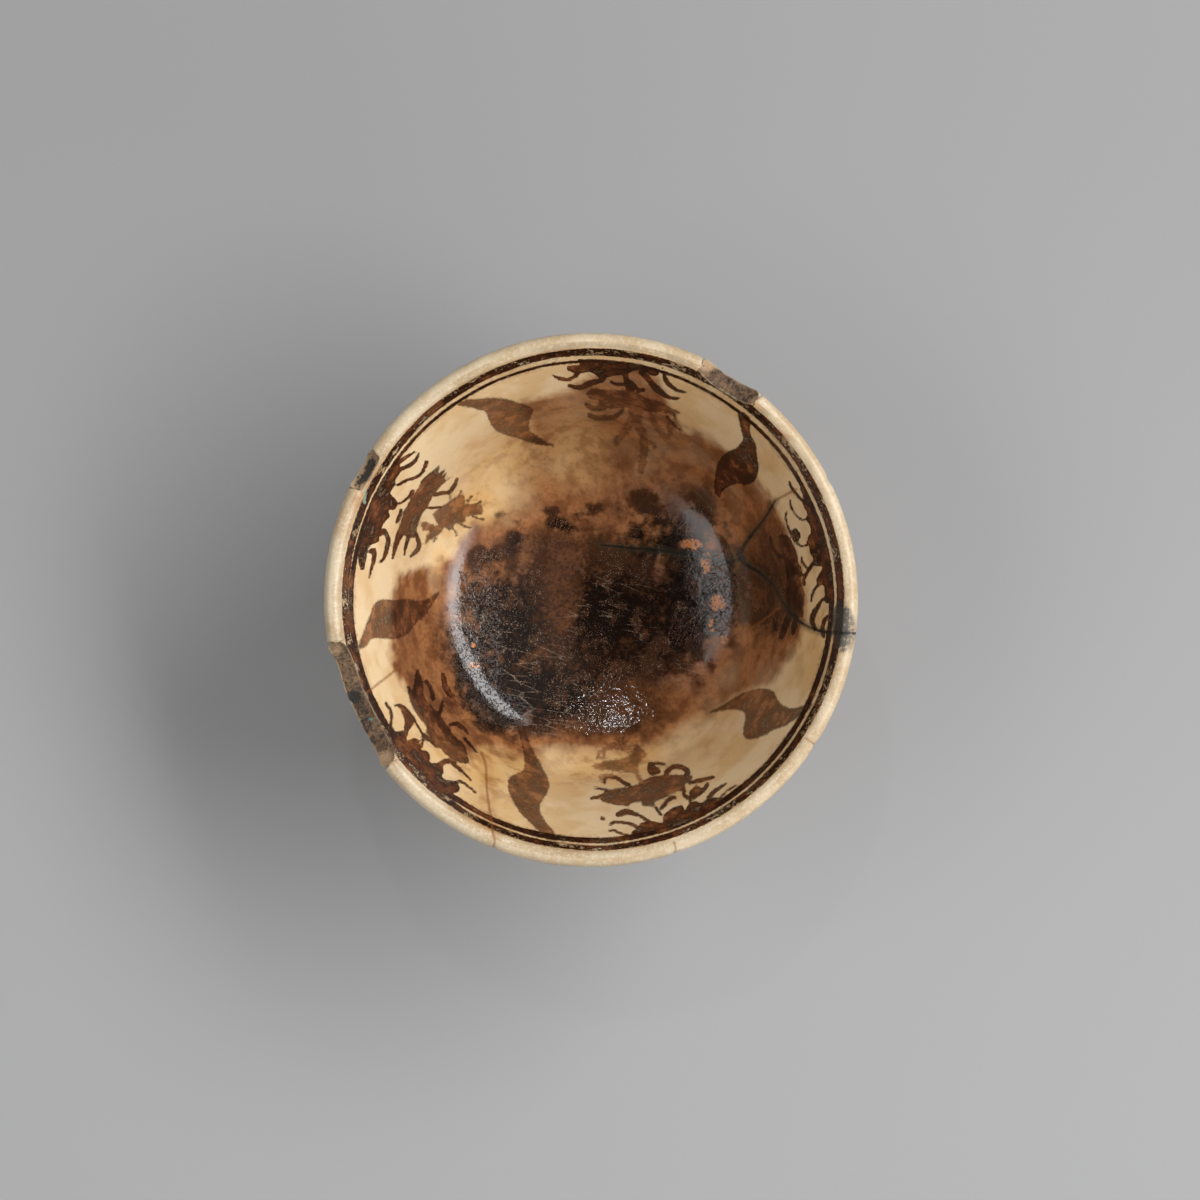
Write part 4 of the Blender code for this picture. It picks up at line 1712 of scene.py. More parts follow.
    def clay_group(self) -> Tree:
        """Bare stonepaste: sandy grain, dirt in its hollows, and its roughness as a height.

        Returns:
            The group.
        """
        tree, n, entry, leave = new_group(
            "bare_stonepaste",
            {"Vector": "vector", "Clay": "colour", "Dirt": "colour", "Soil": "number"},
            {"Color": "colour", "Height": "number"},
        )
        place = entry["Vector"]
        sand, lump = n.noise(place, 2.2, 5.0, 0.75), n.noise(place, 0.7, 4.0, 0.65)
        height = n.plus(n.times(sand, 0.45), n.times(lump, 0.75))
        soil = n.times(n.ramp(height, 0.72, 0.48), entry["Soil"], clamp=True)
        pale = n.ramp(n.noise(place, 3.4, 3.0, 0.7), 0.58, 0.72, 0.0, 0.55)
        n.feed(leave["Color"], n.mix(pale, n.mix(soil, entry["Clay"], entry["Dirt"]), self.tones.sand_grain))
        n.feed(leave["Height"], height)
        return tree


def new_material(name: str) -> tuple[bpy.types.Material, Nodes, bpy.types.Node]:
    """A material with an empty tree but for its Principled shader and output.

    Args:
        name: The material's name.

    Returns:
        The material, its node layer and its shader.
    """
    material = bpy.data.materials.new(name)
    material.use_nodes = True
    material.node_tree.nodes.clear()
    n = Nodes(material.node_tree)
    shader = n.add("ShaderNodeBsdfPrincipled")
    n.feed(n.add("ShaderNodeOutputMaterial").inputs["Surface"], shader.outputs[0])
    return material, n, shader


@dataclass(frozen=True)
class Layers:
    """What the inside's layers share: node layer, places in millimetres, clouding from slow to crumbly."""

    n: Nodes
    place: object
    plan: object
    lip: object
    slow: object
    mid: object
    fine: object
    crumbs: object


@dataclass(frozen=True)
class InsideGlaze:
    """The painted inside: cream glaze under lustre, a brown stain that is partly painted shadow of the rim, a
    dark stained floor, cracks and soot.

    A ring is given by its radius in pixels and by how far its centre lies off along x and along y.
    """

    photo: Photo
    effects: Effects
    tones: Tones = Tones()
    band_edge: tuple[float, float, float] = (251.4, 1.9, 0.5)
    hairline: tuple[float, float, float] = (243.8, 0.9, -0.8)
    line_edge: tuple[float, float, float] = (238.4, 0.2, 0.0)
    ring_waver: float = 0.40

    def rings(self, n: Nodes, plan: object) -> tuple[object, object, object]:
        """The painted rings under the lip, worked out from the distance to the axis.

        Args:
            n: The node layer.
            plan: Plan position in millimetres.

        Returns:
            Depth in the outer band, depth in the inner line, and how far a place lies out on the lip.
        """
        pixel = self.photo.pixel / MM
        along_x, along_y, _ = n.split(n.vector("NORMALIZE", plan))
        waver = n.times(n.minus(n.attribute("slow"), 0.5), self.ring_waver)
        radius = n.plus(n.vector("LENGTH", plan), waver)

        def circle(level: float, by_x: float, by_y: float) -> object:
            """A circle that is set a little off centre."""
            return n.scaled(along_y, by_y * pixel, n.scaled(along_x, by_x * pixel, level * pixel))

        gap = n.times(n.attribute("hairline"), 0.5)
        middle, band_outer = circle(*self.hairline), circle(*self.band_edge)
        band = n.smaller(n.minus(band_outer, radius), n.minus(n.minus(radius, middle), gap))
        line = n.smaller(n.minus(n.minus(middle, gap), radius), n.minus(radius, circle(*self.line_edge)))
        return band, line, n.minus(radius, band_outer)

    def cream(self, at: Layers) -> object:
        """Cream glaze, greyer on the lip, with amber patches.

        Args:
            at: The shared layers.

        Returns:
            The glaze's colour.
        """
        n, tones = at.n, self.tones
        glaze = n.group(
            self.effects.glaze,
            Vector=at.place,
            Slow=at.slow,
            Fine=at.fine,
            Crumbs=at.crumbs,
            Light_Cream=n.mix(at.lip, tones.light, tones.lip_light),
            Deep_Cream=n.mix(at.lip, tones.deep, tones.lip_deep),
            Wear=n.ramp(at.lip, 0.0, 1.0, 0.10, 1.0),
        )
        amber = n.mix(n.ramp(n.scaled(at.fine, 0.6, at.mid), 0.72, 1.00), tones.amber_light, tones.amber_deep)
        return n.over(glaze.outputs["Color"], amber, n.attribute("gold"), 0.82)

    def stained_and_shaded(self, at: Layers, colour: object, stain_and_shadow: object) -> object:
        """Lays the brown stain, which is partly painted shadow of the rim, over the glaze; where it counts
        more than once it darkens nearly to black.

        Args:
            at: The shared layers.
            colour: The colour below.
            stain_and_shadow: How strongly the stain and its painted shadow count.

        Returns:
            The washed colour.
        """
        n, tones = at.n, self.tones
        brown = n.mix(n.ramp(at.mid, 0.34, 0.66), tones.stain_shadow_pale, tones.stain_shadow_deep)
        brown = n.mix(n.ramp(at.fine, 0.42, 0.74, 0.0, 0.60), brown, tones.stain_shadow_vein)
        darker_grain = n.ramp(n.scaled(at.crumbs, 0.7, at.fine), 0.75, 1.0)
        deepest_stain_shadow = n.mix(darker_grain, tones.deepest_stain_shadow_pale, tones.deepest_stain_shadow_dark)
        brown = n.mix(n.ramp(stain_and_shadow, 1.0, 1.6, 0.0, 0.90), brown, deepest_stain_shadow)
        return n.mix(n.smaller(stain_and_shadow, 1.0), colour, brown)

    def burnt(self, at: Layers, colour: object) -> tuple[object, object]:
        """Burns the floor: the stain's own strength, broken up by the clouding.

        Args:
            at: The shared layers.
            colour: The colour below.

        Returns:
            The colour and how dark each place is.
        """
        n, stain = at.n, at.n.attribute("dark")
        mottle = n.scaled(at.mid, 1.9, n.scaled(at.fine, 0.7, -1.80))
        mottle = n.scaled(at.slow, 1.0, mottle)
        dark = n.ramp(n.scaled(mottle, n.ramp(stain, 0.0, 0.35), stain), 0.12, 0.86)
        lighter = n.scaled(stain, -0.13, n.scaled(at.fine, 0.3, at.mid))
        black = n.mix(n.ramp(lighter, 0.52, 0.74), self.tones.burnt, self.tones.burnt_light)
        return n.over(colour, black, dark, 0.97), dark

    def scratched_and_glinting(self, at: Layers, colour: object, vein: object, pitted: object) -> tuple[object, object]:
        """Pale scratches, pale threads along the crackle that are painted glints and strongest where the
        floor is pitted, rust and orange flakes on the dark floor.

        Args:
            at: The shared layers.
            colour: The colour below.
            vein: Distance from the crackle's lines.
            pitted: How pitted each place is.

        Returns:
            The colour and where the surface is scratched, painted with glints or rusty.
        """
        n, tones = at.n, self.tones
        floor = n.ramp(n.attribute("dark"), 0.20, 0.65)
        scratches = n.group(self.effects.scratches, Vector=at.plan, Patch=at.slow).outputs["Mask"]
        scratches = n.times(scratches, n.ramp(at.crumbs, 0.48, 0.57, 0.06, 0.7))
        # Painted glints: pale threads along the crackle, most where the floor is pitted.
        crackle_glints = n.times(n.ramp(vein, 0.018, 0.050, 1.0, 0.0), n.ramp(at.crumbs, 0.55, 0.61))
        crackle_glints = n.times(crackle_glints, n.ramp(n.scaled(pitted, 0.25, at.mid), 0.50, 0.74, 0.06, 1.0))
        # From here on the mask holds the scratches and the painted glints.
        scratches = n.times(n.larger(scratches, crackle_glints), floor)
        colour = n.mix(n.times(scratches, n.ramp(pitted, 0.0, 0.6, 0.42, 0.68)), colour, tones.thread_and_glint)
        rust = n.times(n.times(n.ramp(at.slow, 0.54, 0.60), n.ramp(at.crumbs, 0.55, 0.62)), floor)
        colour = n.over(colour, tones.rust, rust, 0.40)
        flakes = n.times(n.attribute("flakes"), n.scaled(at.fine, 4.5, -1.40))
        return n.over(colour, tones.flake, n.ramp(flakes, 0.34, 0.40), 0.90), n.larger(scratches, rust)

    def painted(self, at: Layers, colour: object, band: object, line: object) -> bpy.types.NodeOutputs:
        """Lays the lustre over the colour below: motifs and rings.

        Args:
            at: The shared layers.
            colour: The colour below.
            band: Depth in the outer band.
            line: Depth in the inner line.

        Returns:
            The painted colour and its mask.
        """
        n = at.n
        ringed = n.larger(line, band)
        ring_tone = n.times(n.ramp(ringed, -0.1, 0.1), n.ramp(at.slow, 0.36, 0.58, 0.90, 1.32))
        return n.group(
            self.effects.lustre,
            Watery=at.mid,
            Blot=at.fine,
            Depth=n.larger(ringed, n.attribute("lustre")),
            Tone=n.larger(n.attribute("tone"), ring_tone),
            Rubbed=n.ramp(band, -0.1, 0.1, 0.18, 0.62),
            Base=colour,
        ).outputs

    def damaged(self, at: Layers, colour: object) -> tuple[object, object]:
        """Cracks, soot, verdigris, the dark mend, and pale edges along the breaks that are worn glaze and
        also a painted highlight where the glaze edge catches light.

        Args:
            at: The shared layers.
            colour: The colour below.

        Returns:
            The colour and the soot.
        """
        n, tones = at.n, self.tones
        ragged = n.times(n.minus(at.fine, 0.5), 0.45)
        brown_depth = n.plus(n.attribute("brown_crack"), ragged)
        colour = n.mix(n.ramp(brown_depth, -0.26, 0.14, 0.0, 0.66), colour, tones.crack)
        soot = n.ramp(n.times(n.attribute("soot"), n.ramp(at.fine, 0.3, 0.7, 0.5, 1.6)), 0.35, 0.85)
        colour = n.over(colour, tones.soot, soot, 0.88)
        verdigris = n.ramp(n.scaled(at.fine, 0.9, n.attribute("verdigris")), 0.90, 1.10)
        colour = n.over(colour, tones.verdigris, verdigris, 0.85)
        on_floor = n.strokes(self.effects.segment, at.plan, self.photo.on_cup(FLOOR_MEND))
        mend_depth = n.plus(n.larger(on_floor, n.attribute("mend")), ragged)
        colour = n.mix(n.ramp(mend_depth, -1.2, 0.0, 0.0, 0.50), colour, tones.mend_stain)
        mend = n.times(n.ramp(mend_depth, -0.14, 0.08), n.ramp(at.mid, 0.35, 0.60, 0.70, 0.95))
        colour = n.mix(mend, colour, tones.mend)
        # Pale line next to the breaks: worn glaze, and a painted highlight of the glaze edge catching light.
        edge = n.times(n.ramp(n.attribute("broken"), -0.45, -0.05), n.ramp(at.mid, 0.45, 0.60, 0.0, 0.40))
        return n.mix(edge, colour, tones.worn_edge_and_highlight), soot

    def material(self) -> bpy.types.Material:
        """Builds the material from the ground up: glaze, stains partly painted as shadow, painting, cracks,
        soot, painted glints and edge highlight, shine and bump.

        Returns:
            The material.
        """
        material, n, shader = new_material("painted_inside_glaze")
        place = n.millimetres()
        plan = n.plan(place)
        band, line, on_lip = self.rings(n, plan)
        lip = n.ramp(on_lip, -0.1, 0.5)
        slow, mid = n.attribute("slow"), n.attribute("mid")
        at = Layers(n, place, plan, lip, slow, mid, n.fine(place), n.crumbs(place))
        # Strength of the brown stain, which also stands for the painted shadow of the rim.
        stain_and_shadow, pitted = n.attribute("stain_and_shadow"), n.attribute("pitted")
        vein = n.math("ABSOLUTE", n.minus(n.noise(place, 1.1, 3.0, 0.6), 0.5))
        colour, dark = self.burnt(at, self.stained_and_shaded(at, self.cream(at), stain_and_shadow))
        colour, rough_spots = self.scratched_and_glinting(at, colour, vein, pitted)
        colour = n.over(colour, self.tones.grime, n.times(n.attribute("grime"), at.lip), 0.5)
        halo = n.times(n.attribute("halo"), n.ramp(at.mid, 0.3, 0.7, 0.4, 1.0))
        colour = n.over(colour, self.tones.halo, halo, 0.60)
        painted = self.painted(at, colour, band, line)
        colour, soot = self.damaged(at, painted["Color"])
        n.feed(shader.inputs["Base Color"], colour)

        rough = n.ramp(at.slow, 0.3, 0.7, 0.13, 0.22)
        rough = n.ramp(stain_and_shadow, 0.2, 1.0, rough, 0.26)
        cracked = n.larger(n.ramp(pitted, 0.0, 0.6, 0.17, 0.13), n.attribute("crackled"))
        crust = n.ramp(vein, 0.012, 0.055, cracked, 0.07)
        rough = n.ramp(n.larger(dark, pitted), 0.1, 0.7, rough, crust)
        rough = n.plus(rough, n.times(rough_spots, 0.25))
        rough = n.ramp(at.lip, 0.0, 1.0, rough, 0.36, smooth=False)
        n.feed(shader.inputs["Roughness"], n.ramp(soot, 0.0, 1.0, rough, 0.60, smooth=False))
        n.feed(shader.inputs["Metallic"], n.times(painted["Mask"], 0.18))

        skin = n.times(n.noise(place, 0.48, 3.0, 0.6), n.scaled(pitted, 0.16, 0.018))
        skin = n.scaled(at.fine, n.scaled(n.attribute("lip"), 0.050, 0.004), skin)
        n.bump(shader, n.scaled(n.ramp(n.attribute("mend"), -0.2, 0.1), 0.04, skin))
        return material


# One repeat of the outside's painted row: way round, height and width in millimetres.
OUTSIDE_LEAF: tuple[Pull, ...] = (
    ((-10.0, 49.0, 1.0), (-9.0, 44.5, 4.6), (-11.5, 39.0, 5.6), (-14.0, 33.5, 3.0), (-13.0, 27.5, 0.6)),
)
OUTSIDE_SPRIG: tuple[Pull, ...] = (
    ((10.0, 50.0, 1.6), (9.4, 41.0, 1.4), (10.6, 28.0, 0.6)),
    ((9.6, 46.0, 1.2), (5.6, 42.5, 2.2), (4.2, 37.5, 0.8)),
    ((9.8, 44.0, 1.2), (14.0, 40.5, 2.2), (15.4, 35.5, 0.8)),
    ((9.8, 38.0, 1.0), (6.8, 34.5, 1.8), (6.0, 30.5, 0.7)),
    ((10.0, 36.0, 1.0), (13.2, 32.5, 1.8), (13.8, 28.5, 0.7)),
)


@dataclass(frozen=True)
class OutsideGlaze:
    """The outside, which the photograph hides: cream glaze with ring lines and a row of leaves and sprigs.

    Each ring line is given by its height and its width in millimetres.
    """

    photo: Photo
    effects: Effects
    tones: Tones = Tones()
    repeats: int = 6
    ring_lines: tuple[tuple[float, float], ...] = ((54.6, 1.5), (52.2, 0.5), (19.6, 0.5), (17.6, 1.2))

    def ornament(self, n: Nodes, place: object) -> object:
        """Depth in the painted row: each place is folded into one repeat, then set against its strokes.

        Args:
            n: The node layer.
            place: Object position in millimetres.

        Returns:
            The depth in millimetres, above zero under lustre.
        """
        repeat = 2.0 * math.pi / self.repeats
        x, y, z = n.split(place)
        turn = n.math("DIVIDE", n.math("ARCTAN2", y, x), repeat)
        within = n.minus(n.math("FRACT", n.plus(turn, 100.0)), 0.5)
        radius = n.vector("LENGTH", n.plan(place))
        flat = n.add("ShaderNodeCombineXYZ")
        n.feed(flat.inputs[0], n.times(within, n.times(radius, repeat)))
        n.feed(flat.inputs[1], z)
        depth = n.strokes(self.effects.segment, flat.outputs[0], OUTSIDE_LEAF + OUTSIDE_SPRIG)
        level = n.plus(z, n.times(n.minus(n.noise(place, 0.14, 2.0), 0.5), 0.9))
        for middle, width in self.ring_lines:
            away = n.math("ABSOLUTE", n.minus(level, middle))
            depth = n.larger(depth, n.minus(width / 2.0, away))
        return depth

    def material(self) -> bpy.types.Material:
        """Builds the material: cream glaze, painted row, cracks that come through, soot, soil and shine.

        Returns:
            The material.
        """
        material, n, shader = new_material("outside_glaze")
        tones = self.tones
        place = n.millimetres()
        height = n.split(place)[2]
        mid, fine = n.noise(place, 0.38, 4.0, 0.68), n.fine(place)
        glaze = self.effects.old_glaze(n, place, n.noise(place, 0.11, 3.0), tones)
        low = n.times(n.ramp(height, 24.0, 6.0), n.ramp(mid, 0.35, 0.65, 0.35, 1.0))
        painted = n.group(
            self.effects.lustre,
            Watery=mid,
            Blot=fine,
            Depth=self.ornament(n, place),
            Tone=0.85,
            Rubbed=0.45,
            Base=n.over(glaze["Color"], tones.soil, low, 0.55),
        )
        ragged = n.times(n.minus(fine, 0.5), 0.4)
        brown = n.ramp(n.plus(n.attribute("brown_crack"), ragged), -0.15, 0.1)
        brown = n.times(brown, n.times(n.ramp(height, 22.0, 30.0), 0.6))
        colour = n.mix(brown, painted.outputs["Color"], tones.crack_outside)
        soot = n.ramp(n.times(n.attribute("soot"), n.ramp(fine, 0.3, 0.7, 0.5, 1.3)), 0.3, 1.0)
        colour = n.mix(n.times(soot, n.ramp(height, 38.0, 56.0, 0.0, 0.8)), colour, tones.soot)
        wall_mend = n.strokes(self.effects.segment, n.plan(place), self.photo.on_cup(WALL_MENDS))
        mend = n.ramp(n.plus(wall_mend, ragged), -0.14, 0.08)
        colour = n.over(colour, tones.mend, mend, 0.9)
        colour = n.over(colour, tones.worn_edge_outside, n.ramp(n.attribute("broken"), -0.5, -0.05), 0.5)
        n.feed(shader.inputs["Base Color"], colour)
        rough = n.ramp(mid, 0.3, 0.7, 0.20, 0.34)
        rough = n.ramp(n.ramp(height, 56.0, 59.0), 0.0, 1.0, rough, 0.38, smooth=False)
        n.feed(shader.inputs["Roughness"], n.ramp(soot, 0.0, 1.0, rough, 0.6, smooth=False))
        n.feed(shader.inputs["Metallic"], n.times(painted.outputs["Mask"], 0.22))
        turning = n.math("SINE", n.plus(n.times(height, 1.9), n.times(mid, 2.5)))
        skin = n.plus(n.times(glaze["Height"], 0.05), n.times(turning, 0.018))
        n.bump(shader, n.plus(skin, n.times(mend, 0.05)))
        return material


@dataclass(frozen=True)
class FootFinish:
    """The foot: the glaze ends in a ragged edge, and below it the bare stonepaste is soiled and worn pale."""

    effects: Effects
    tones: Tones = Tones()
    edge_of_glaze: float = 3.6

    def material(self) -> bpy.types.Material:
        """Builds the material: bare clay below a wavering line of glaze, turning marks in the recess.

        Returns:
            The material.
        """
        material, n, shader = new_material("bare_foot")
        tones = self.tones
        place = n.millimetres()
        height = n.split(place)[2]
        radius = n.vector("LENGTH", n.plan(place))
        slow = n.noise(place, 0.15, 3.0)
        glaze = self.effects.old_glaze(n, place, slow, tones)
        clay = n.group(self.effects.clay, Vector=place, Clay=tones.foot_clay, Dirt=tones.foot_dirt, Soil=0.85)
        wander = n.times(n.minus(n.noise(place, 0.20, 3.0, 0.6), 0.5), 6.0)
        above = n.minus(n.plus(height, wander), self.edge_of_glaze)
        outer = n.ramp(radius, 22.5, 23.0)
        glazed = n.times(n.ramp(above, 0.0, 0.25), outer)
        roll = n.times(n.times(n.ramp(above, -0.1, 0.3), n.ramp(above, 1.6, 0.4)), outer)
        colour = n.mix(glazed, clay.outputs["Color"], glaze["Color"])
        colour = n.over(colour, tones.glaze_roll, roll, 0.35)
        tread = n.times(n.ramp(height, 0.7, 0.1), n.ramp(n.noise(place, 0.8, 4.0), 0.35, 0.6))
        n.feed(shader.inputs["Base Color"], n.over(colour, tones.tread, tread, 0.55))
        n.feed(shader.inputs["Roughness"], n.ramp(glazed, 0.0, 1.0, 0.85, 0.28, smooth=False))
        marks = n.math("SINE", n.scaled(slow, 5.0, n.times(radius, 5.0)))
        rough_skin = n.plus(n.times(clay.outputs["Height"], 0.25), n.times(marks, 0.035))
        smooth_skin = n.plus(n.times(glaze["Height"], 0.05), n.times(roll, 0.22))
        n.bump(shader, n.ramp(glazed, 0.0, 1.0, rough_skin, n.plus(smooth_skin, 0.25), smooth=False))
        return material


@dataclass(frozen=True)
class BreakFinish:
    """Old broken clay in the rim: dirty grey buff, dark pits, and soot where the smudges reach it."""

    effects: Effects
    tones: Tones = Tones()

    def material(self) -> bpy.types.Material:
        """Builds the material: soiled clay, dark pits and streaks, paler glaze in section at both edges.

        Returns:
            The material.
        """
        material, n, shader = new_material("broken_stonepaste")
        tones = self.tones
        place = n.millimetres()
        clay = n.group(
            self.effects.clay, Vector=place, Clay=tones.break_clay, Dirt=tones.break_dirt, Soil=1.0
        )
        slow, fine = n.noise(place, 0.35, 3.0, 0.6), n.noise(place, 1.6, 4.0, 0.75)
        colour = n.mix(n.ramp(slow, 0.50, 0.64, 0.0, 0.70), clay.outputs["Color"], tones.break_streak)
        warm = n.ramp(n.scaled(n.minus(fine, 0.5), 0.8, n.attribute("halo")), 0.05, 0.95)
        colour = n.over(colour, tones.break_warm, warm, 0.85)
        verdigris = n.ramp(n.scaled(fine, 0.9, n.attribute("verdigris")), 0.95, 1.15)
        colour = n.mix(verdigris, colour, tones.verdigris_on_clay)
        pits = n.times(n.ramp(n.cells(place, 0.9), 0.08, 0.24, 1.0, 0.0), n.ramp(slow, 0.42, 0.58))
        colour = n.over(colour, tones.break_pit, pits, 0.85)
        soot = n.ramp(n.scaled(n.minus(fine, 0.5), 2.2, n.attribute("soot")), 0.30, 0.80)
        soot = n.times(soot, n.ramp(n.attribute("soot"), 0.0, 0.25))
        colour = n.over(colour, tones.soot_on_clay, soot, 0.93)
        rim = n.times(n.ramp(n.attribute("broken"), 0.10, 0.34, 1.0, 0.0), n.ramp(slow, 0.35, 0.60))
        n.feed(shader.inputs["Base Color"], n.over(colour, tones.glaze_section, rim, 0.45))
        n.feed(shader.inputs["Roughness"], n.ramp(slow, 0.3, 0.7, 0.60, 0.90))
        n.bump(shader, n.minus(n.times(clay.outputs["Height"], 0.45), n.times(pits, 0.30)))
        return material


class Face(Enum):
    """Finishes of the skin's faces, in the order of its material slots."""

    INSIDE = 0
    OUTSIDE = 1
    FOOT = 2
    BREAK = 3


def placed(name: str, data: bpy.types.ID) -> bpy.types.Object:
    """A new object in the scene's collection.

    Args:
        name: The object's name.
        data: Its mesh, light or camera.

    Returns:
        The object.
    """
    made = bpy.data.objects.new(name, data)
    bpy.context.scene.collection.objects.link(made)
    return made


@dataclass(frozen=True)
class Softbox:
    """An area light aimed at the cup.

    Bearing is counted anticlockwise from +X and from_zenith from straight above, both in degrees. Size is
    its length along the ground and its other side, and power is in watts.
    """

    name: str
    bearing: float
    from_zenith: float
    distance: float
    size: tuple[float, float]
    power: float

    def light(self) -> bpy.types.Object:
        """Makes the light.

        Returns:
            The light's object.
        """
        data = bpy.data.lights.new(self.name, "AREA")
        data.shape = "RECTANGLE"
        data.size, data.size_y = self.size
        data.energy = self.power
        light = placed(self.name, data)
        around, tilt = math.radians(self.bearing), math.radians(self.from_zenith)
        light.location = (
            self.distance * math.sin(tilt) * math.cos(around),
            self.distance * math.sin(tilt) * math.sin(around),
            self.distance * math.cos(tilt),
        )
        light.rotation_euler = (tilt, 0.0, around + math.pi / 2.0)
        return light


SOFTBOXES = (
    Softbox("key_softbox", 16.0, 42.0, 1.3, (1.45, 0.46), 20.0),
    Softbox("veil_softbox", 20.0, 22.0, 1.3, (1.0, 0.7), 0.45),
    Softbox("fill_softbox", 190.0, 36.5, 1.3, (0.92, 0.56), 4.2),
    Softbox("low_softbox", 302.0, 70.0, 1.6, (1.8, 0.7), 7.4),
    Softbox("far_spotlight", 101.0, 28.0, 1.6, (0.045, 0.045), 0.9),
)


@dataclass
class Studio:
    """The pale floor, painted lighter towards the bottom of the frame as light falling off, the soft lights
    and the camera straight above.
    """

    photo: Photo
    rim_height: float
    camera_distance: float = 1.9
    farthest_seen: float = 20.0
    sensor: float = 36.0
    floor_size: float = 3.0
    floor_cells: int = 8
    # Floor colours: painted light towards -y, the bottom of the frame, and painted shade towards +y, its top.
    floor_painted_lit: Colour = srgb(160, 160, 161)
    floor_painted_shaded: Colour = srgb(148, 148, 149)
    floor_shade_mm: float = 130.0
    surround: float = 0.26

    def camera(self) -> bpy.types.Object:
        """Camera that looks straight down, framing the photograph's square at the height of the rim.

        Returns:
            The camera's object.
        """
        data = bpy.data.cameras.new("camera")
        data.sensor_width = self.sensor
        width = self.photo.side * self.photo.pixel
        data.lens = self.sensor * (self.camera_distance / width)
        data.clip_end = self.farthest_seen
        camera = placed("camera", data)
        x, y = self.photo.to_cup(self.photo.side / 2.0, self.photo.side / 2.0)
        camera.location = (x, y, self.rim_height + self.camera_distance)
        bpy.context.scene.camera = camera
        return camera

    def floor(self) -> bpy.types.Object:
        """A level pale floor under the foot, its colour painted lighter towards -y and darker towards +y as a
        falloff of the light.

        Returns:
            The floor's object.
        """
        half, cells = self.floor_size / 2.0, self.floor_cells
        grid = np.linspace(-half, half, cells + 1)
        x, y = np.meshgrid(grid, grid, indexing="ij")
        points = np.stack([x.ravel(), y.ravel(), np.zeros(x.size)], axis=1)
        i, j = np.meshgrid(np.arange(cells), np.arange(cells), indexing="ij")
        corner = (i * (cells + 1) + j).ravel()
        faces = np.stack([corner, corner + cells + 1, corner + cells + 2, corner + 1], axis=1)
        mesh = bpy.data.meshes.new("pale_floor")
        mesh.from_pydata(points.tolist(), [], faces.tolist())
        material, n, shader = new_material("pale_floor")
        shader.inputs["Roughness"].default_value = 0.9
        shader.inputs["Specular IOR Level"].default_value = 0.1
        # Painted light falloff: lighter towards -y, darker towards +y.
        shade = n.ramp(n.split(n.millimetres())[1], -self.floor_shade_mm, self.floor_shade_mm)
        n.feed(shader.inputs["Base Color"], n.mix(shade, self.floor_painted_lit, self.floor_painted_shaded))
        mesh.materials.append(material)
        floor = placed("pale_floor", mesh)
        return floor

    def light(self) -> None:
        """The softboxes: key, veil, fill, low one, small lamp for glints; and an even grey surround."""
        for softbox in SOFTBOXES:
            softbox.light()
        world = bpy.data.worlds.new("surround")
        world.use_nodes = True
        background = world.node_tree.nodes["Background"]
        background.inputs["Color"].default_value = (1.0, 1.0, 1.0, 1.0)
        background.inputs["Strength"].default_value = self.surround
        world.cycles_visibility.glossy = False
        bpy.context.scene.world = world
        bpy.context.scene.view_settings.view_transform = "Standard"


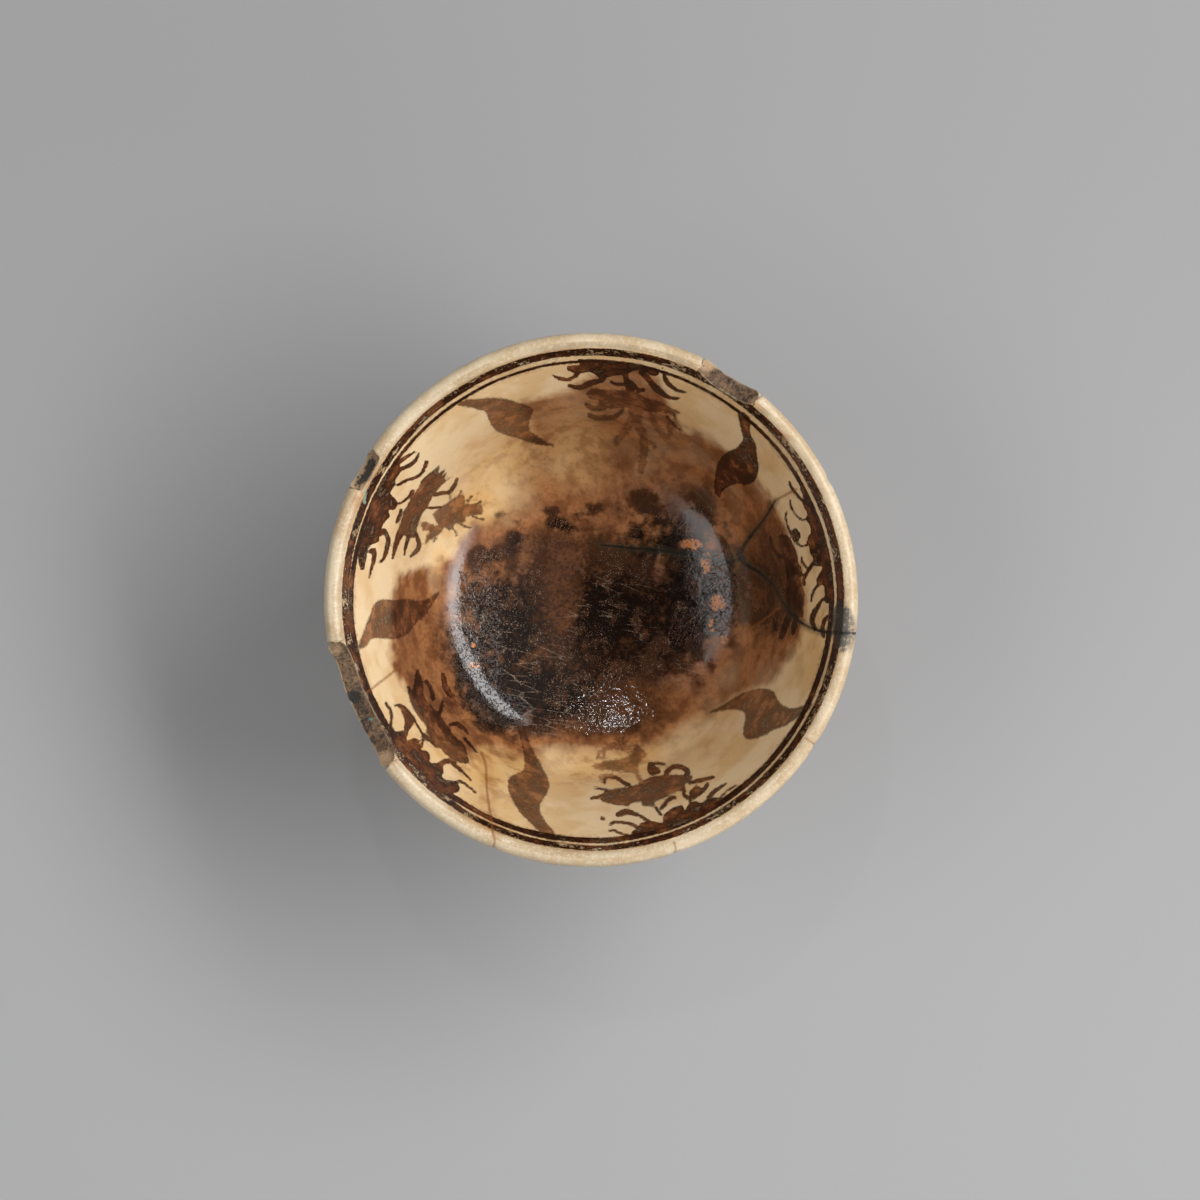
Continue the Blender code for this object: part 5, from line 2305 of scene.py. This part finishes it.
@dataclass
class PaintedCup:
    """The finished cup: its skin, the masks painted on it and its four finishes."""

    body: CupBody
    photo: Photo
    effects: Effects
    name: str = "cup_body"
    paint_margin: float = 2.0 * MM

    def face_finishes(self, corners: Array, sizes: Array, points: Array) -> Array:
        """Finish of each face: broken where all its corners are, else by its part of the section.

        Args:
            corners: Point numbers of all faces, one after another.
            sizes: Number of corners of each face.
            points: The skin's points.

        Returns:
            Slot number of each face.
        """
        starts = np.concatenate([[0], np.cumsum(sizes)[:-1]])
        zone = self.body.fields["zone"][corners]
        lowest = np.minimum.reduceat(zone, starts)
        broken = np.minimum.reduceat(self.body.fields["broken"][corners], starts) > -1e-6
        radius = np.hypot(points[:, 0], points[:, 1])[corners]
        beyond = np.add.reduceat(radius, starts) / sizes > self.body.section.crown
        finish = np.full(len(sizes), Face.INSIDE.value)
        finish[(lowest == Zone.LIP.value) & beyond] = Face.OUTSIDE.value
        finish[lowest == Zone.OUTSIDE.value] = Face.OUTSIDE.value
        finish[lowest == Zone.FOOT.value] = Face.FOOT.value
        finish[broken] = Face.BREAK.value
        return finish

    def crisp_edges(self, mesh: bpy.types.Mesh, finish: Array) -> None:
        """Marks the edges between broken and whole faces as sharp.

        Args:
            mesh: The skin's mesh.
            finish: Slot number of each face.
        """
        edge_of = np.empty(len(mesh.loops), dtype=np.int32)
        mesh.loops.foreach_get("edge_index", edge_of)
        totals = np.empty(len(mesh.polygons), dtype=np.int32)
        mesh.polygons.foreach_get("loop_total", totals)
        broken = np.repeat(finish == Face.BREAK.value, totals)
        with_break = np.bincount(edge_of, weights=broken, minlength=len(mesh.edges))
        sharp = mesh.attributes.new("sharp_edge", "BOOLEAN", "EDGE")
        sharp.data.foreach_set("value", with_break == 1)

    def build(self) -> bpy.types.Object:
        """Makes the mesh, paints its masks and gives it its finishes.

        Returns:
            The object, riding on the CAD body and standing for the cup.
        """
        points, widths = self.body.vertices()
        quads, triangles = self.body.faces(widths)
        mesh = bpy.data.meshes.new(self.name)
        mesh.from_pydata(points.tolist(), [], quads.tolist() + triangles.tolist())
        sizes = np.concatenate([np.full(len(quads), 4), np.full(len(triangles), 3)])
        corners = np.concatenate([quads.ravel(), triangles.ravel()])
        finish = self.face_finishes(corners, sizes, points)

        radius = np.hypot(points[:, 0], points[:, 1])
        painted = self.body.section.crown + self.paint_margin
        within = (self.body.fields["zone"] <= Zone.LIP.value) & (radius < painted)
        masks = Painter(self.photo).dress(points, within)
        masks["broken"] = self.body.fields["broken"]
        for label, values in masks.items():
            layer = mesh.attributes.new(label, "FLOAT", "POINT")
            layer.data.foreach_set("value", values.astype(np.float32))

        finishes = (
            InsideGlaze(self.photo, self.effects),
            OutsideGlaze(self.photo, self.effects),
            FootFinish(self.effects),
            BreakFinish(self.effects),
        )
        for each in finishes:
            mesh.materials.append(each.material())
        mesh.polygons.foreach_set("material_index", finish.astype(np.int32))
        mesh.polygons.foreach_set("use_smooth", finish != Face.BREAK.value)
        self.crisp_edges(mesh, finish)
        mesh.update()
        cup = placed(self.name, mesh)
        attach(cup, "root")
        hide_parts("cup")
        LOG.info("%s: %d points, %d triangles", self.name, len(points), 2 * len(quads) + len(triangles))
        return cup


def main() -> None:
    """Builds the studio and the cup."""
    logging.basicConfig(level=logging.INFO, format="%(message)s")
    low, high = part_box("cup")
    rim_radius = (high[0] - low[0]) / 2.0
    photo = Photo(cup_radius=rim_radius)
    section = Section(rim_radius=rim_radius, height=high[2] - low[2])
    body = CupBody(
        section=section,
        chips=(
            Chip(bearing=204.3, span=30.0, depth=4.7 * MM, lean=8.0, squareness=6.0),
            Chip(bearing=57.6, span=14.5, depth=3.6 * MM, lean=18.0, squareness=3.0),
            Chip(bearing=150.4, span=9.6, depth=1.9 * MM, lean=45.0, squareness=2.6),
        ),
        nicks=((26.8, 1.0), (248.6, 0.6), (288.6, 0.7), (327.2, 0.7), (216.0, 0.5), (118.0, 0.4), (5.0, 0.3)),
    )
    PaintedCup(body, photo, Effects(Tones())).build()
    studio = Studio(photo, rim_height=section.height)
    studio.floor()
    studio.camera()
    studio.light()


if __name__ == "__main__":
    main()
